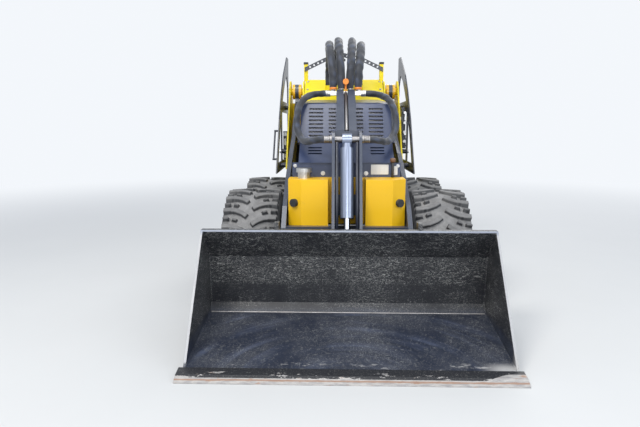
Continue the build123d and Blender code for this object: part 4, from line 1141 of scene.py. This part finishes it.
class LOADER_OT_plates(LoaderOperator, bpy.types.Operator):
    """Bare white plates where the real machine carries signs"""

    bl_idname = "loader.plates"
    bl_label = "Bare plates"

    def execute(self, context):
        # Node that carries it, name, x and z of its centre, width, height, thickness
        rows = (
            ("bulkhead", "plate_bulkhead", 0.148, 0.634, 0.078, 0.044, 0.0016),
            ("bulkhead", "plate_bulkhead_small", 0.216, 0.630, 0.022, 0.040, 0.0016),
            ("side_box", "plate_side_box_top", -0.3225, 0.782, 0.018, 0.020, 0.0012),
            ("side_box", "plate_side_box_middle", -0.3225, 0.740, 0.010, 0.036, 0.0012),
            ("side_box", "plate_side_box_bottom", -0.3225, 0.664, 0.018, 0.020, 0.0012),
        )
        for node, name, x, z, *size in rows:
            piece = upright_plate(name, (x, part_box(node)[0].y - 0.0002, z), -1, size, "plate white")
        return {"FINISHED"}


# The filler cap's grip: its foot's height, its ridges, and its rings as height above the foot, share of the radius
# and share of the ridges' depth
CAP_FOOT, CAP_RIDGES = 0.600, 24
CAP_RINGS = ((0.0255, 0.97, 0.0), (0.0265, 1.0, 1.0), (0.041, 1.0, 1.0), (0.0428, 0.985, 0.6), (0.0438, 0.94, 0.0),
             (0.0445, 0.80, 0.0), (0.0445, 0.0, 0.0))


class LOADER_OT_filler_ridges(LoaderOperator, bpy.types.Operator):
    """Ridges round the filler cap's grip"""

    bl_idname = "loader.filler_ridges"
    bl_label = "Filler cap ridges"

    def execute(self, context):
        # Round the cap by angle a, r is the cap's radius times the ring's share, plus a cosine of the ridges' angle
        low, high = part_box("filler_cap")
        centre, radius = (low + high) / 2, (high.x - low.x) / 2
        angle = full_turn(CAP_RIDGES * 8)
        height, share, grip = np.array(CAP_RINGS).T[:, :, None]
        r = radius * share + (0.0012 * np.cos(CAP_RIDGES * angle) - 0.0011) * grip + 0.0004
        r[-1] = 0
        r = np.concatenate((np.zeros_like(r[:1]), r))
        z = np.repeat(CAP_FOOT + np.concatenate((height[:1], height)), len(angle), axis=1)
        points = np.stack((centre.x + r * np.cos(angle), centre.y + r * np.sin(angle), z), axis=-1)
        piece = new_piece("filler_cap_grip", points.reshape(-1, 3), quads_of_grid(len(points), len(angle)),
                          "fitting metal", "chassis", smooth=False)
        return {"FINISHED"}


def weld_bead(name, start, end, facing, radius, finish):
    """A weld bead along a line in the bucket: a round ridge whose radius ripples every few millimetres."""
    start, end = np.array(start, float), np.array(end, float)
    length = np.linalg.norm(end - start)
    count, sides = max(int(length / 0.0016), 4), 10
    share = np.linspace(0, 1, count)[:, None, None]
    along = (end - start) / length
    up = np.array(facing, float)
    up = up - along * (up @ along)
    up /= np.linalg.norm(up)
    angle = full_turn(sides)[None, :, None]
    ripple = radius * (1 + 0.16 * np.abs(np.sin(share * length / 0.0030)) + 0.10 * np.sin(share * length / 0.021))
    ripple[0] = ripple[-1] = 0
    points = start + share * (end - start) + ripple * (np.cos(angle) * np.cross(along, up) + np.sin(angle) * up)
    return new_piece(name, points.reshape(-1, 3), quads_of_grid(count, sides), finish, "bucket")


class LOADER_OT_welds(LoaderOperator, bpy.types.Operator):
    """Weld beads in the bucket's corners"""

    bl_idname = "loader.welds"
    bl_label = "Weld beads"

    def execute(self, context):
        # The inner face of a side wall, and the (y, z) of the inside from the floor's front edge to the lip
        wall = 0.552
        inside = ((-0.885, 0.0255), (-0.527, 0.0842), (-0.498, 0.1165), (-0.513, 0.312), (-0.600, 0.425))
        for name, side in SIDES:
            for number, (a, b) in enumerate(zip(inside, inside[1:]), 1):
                weld_bead(f"bucket_weld_{name}_{number}", (side * wall, *a), (side * wall, *b), (-side, -0.5, 0.7),
                          0.0034, "bucket worn paint")
        weld_bead("bucket_weld_floor", (-0.55, -0.527, 0.0838), (0.55, -0.527, 0.0838), (0, -0.5, 1), 0.0030,
                  "pin steel")
        return {"FINISHED"}


BACKDROP = (0.90, 0.93, 0.97, 1)
FLOOR_REACH = 24.0
# Name, place, aim, width, power, colour
LAMPS = (
    ("key", (-2.4, -3.6, 4.2), (0, -0.1, 0.4), 1.8, 140, (1.0, 0.97, 0.92)),
    ("fill", (3.6, -2.6, 2.4), (0, 0, 0.5), 3.0, 42, (0.90, 0.95, 1.0)),
    ("top", (-0.3, -1.7, 4.9), (0, 0.1, 0.7), 2.0, 75, (1.0, 0.99, 0.97)),
    ("rear", (1.6, 3.8, 3.8), (0, 0.2, 0.5), 2.6, 85, (1.0, 0.98, 0.96)),
    ("front", (0.4, -4.8, 1.9), (0, 0, 0.5), 2.4, 58, (0.96, 0.98, 1.0)),
)
# The camera's focal length in the photograph's pixels, its sensor in mm, its place, its downward tilt and its turn
FOCAL, FRAME_WIDTH, SENSOR = 510.0, 640.0, 36.0
CAMERA_PLACE, CAMERA_TILT, CAMERA_TURN = (-0.058, -2.484, 0.820), 0.168, 0.026


def placed_object(name, data, place=(0, 0, 0), turn=(0, 0, 0)):
    """An object of the scene, for a light, the camera or the floor."""
    holder = bpy.data.objects.new(name, data)
    holder.location = place
    holder.rotation_euler = turn
    bpy.context.scene.collection.objects.link(holder)
    return holder


def make_floor():
    """A pale floor that fades into the backdrop far out, for the camera alone."""
    n, shader = new_material("stage floor", (0.70, 0.70, 0.69))
    tone = n.blend(n.noise(n.place(), 2.0, 3.0, 0.6), (0.63, 0.63, 0.62, 1), (0.66, 0.66, 0.65, 1))
    n.put(shader, "Base Color", tone)
    n.put(shader, "Roughness", 0.9)
    far = n.ramp(n.measure("LENGTH", n.place()), 1.6, 6.5)
    fade = n.times(far, n.add("ShaderNodeLightPath").outputs["Is Camera Ray"])
    glow = n.add("ShaderNodeEmission", Color=BACKDROP, Strength=1.0).outputs["Emission"]
    surface = n.add("ShaderNodeMixShader", None, fade, shader.outputs["BSDF"], glow).outputs["Shader"]
    n.put(n.tree.nodes["Material Output"], "Surface", surface)
    mesh = bpy.data.meshes.new("floor")
    corners = [(x * FLOOR_REACH, y * FLOOR_REACH, 0) for x, y in ((-1, -1), (1, -1), (1, 1), (-1, 1))]
    mesh.from_pydata(corners, [], [(0, 1, 2, 3)])
    mesh.materials.append(bpy.data.materials["stage floor"])
    placed_object("floor", mesh, (0, 0, -0.0005))


def make_sky():
    """The backdrop where a ray sees it, a dimmer blue-white light elsewhere."""
    world = bpy.data.worlds.new("studio")
    world.use_nodes = True
    n = Nodes(world.node_tree)
    rays = n.add("ShaderNodeLightPath").outputs
    seen = n.math("MAXIMUM", rays["Is Camera Ray"],
                  n.math("MAXIMUM", rays["Is Glossy Ray"], rays["Is Transmission Ray"]))
    background = world.node_tree.nodes["Background"]
    n.put(background, "Color", n.blend(seen, (0.74, 0.84, 1.0, 1), BACKDROP))
    n.put(background, "Strength", n.blend_value(seen, 0.56, 1.0))
    bpy.context.scene.world = world


class LOADER_OT_stage(LoaderOperator, bpy.types.Operator):
    """Pale floor, soft studio light and the camera at the photograph's angle"""

    bl_idname = "loader.stage"
    bl_label = "Stage"

    def execute(self, context):
        context.scene.view_settings.view_transform = "Standard"
        make_floor()
        make_sky()
        for name, place, aim, width, power, colour in LAMPS:
            lamp = bpy.data.lights.new(name, "AREA")
            lamp.shape = "DISK"
            lamp.size = width
            lamp.energy = power
            lamp.color = colour
            placed_object(name, lamp, place, (Vector(aim) - Vector(place)).to_track_quat("-Z", "Y").to_euler())
        camera = bpy.data.cameras.new("camera")
        camera.sensor_width = SENSOR
        camera.lens = FOCAL / FRAME_WIDTH * SENSOR
        camera.clip_end = 60.0
        turn = (math.pi / 2 - CAMERA_TILT, 0.0, CAMERA_TURN)
        context.scene.camera = placed_object("camera", camera, CAMERA_PLACE, turn)
        return {"FINISHED"}


OPERATORS = (LOADER_OT_finishes, LOADER_OT_tyres, LOADER_OT_arch_hoses, LOADER_OT_loop_hoses, LOADER_OT_bolts,
             LOADER_OT_fittings, LOADER_OT_platform_tread, LOADER_OT_grille_mesh, LOADER_OT_instruments,
             LOADER_OT_knee_pad, LOADER_OT_plates, LOADER_OT_filler_ridges, LOADER_OT_welds, LOADER_OT_stage)


class LOADER_PT_sidebar(bpy.types.Panel):
    """The loader's settings and pieces in the sidebar"""

    bl_label = "Mini wheel loader"
    bl_idname = "LOADER_PT_sidebar"
    bl_space_type = "VIEW_3D"
    bl_region_type = "UI"
    bl_category = "Loader"

    def draw(self, context):
        for group in (paint(), sizes()):
            column = self.layout.column(align=True)
            for label in group.__annotations__:
                column.prop(group, label)
        column = self.layout.column(align=True)
        for operator in OPERATORS:
            column.operator(operator.bl_idname)


CLASSES = (LoaderPaintSettings, LoaderSizeSettings, *OPERATORS, LOADER_PT_sidebar)


def register():
    for item in CLASSES:
        bpy.utils.register_class(item)
    bpy.types.Scene.loader_paint = bpy.props.PointerProperty(type=LoaderPaintSettings)
    bpy.types.Scene.loader_sizes = bpy.props.PointerProperty(type=LoaderSizeSettings)


def unregister():
    del bpy.types.Scene.loader_sizes
    del bpy.types.Scene.loader_paint
    for item in reversed(CLASSES):
        bpy.utils.unregister_class(item)


def main():
    register()
    for operator in OPERATORS:
        group, name = operator.bl_idname.split(".")
        getattr(getattr(bpy.ops, group), name)()


if __name__ == "__main__":
    main()
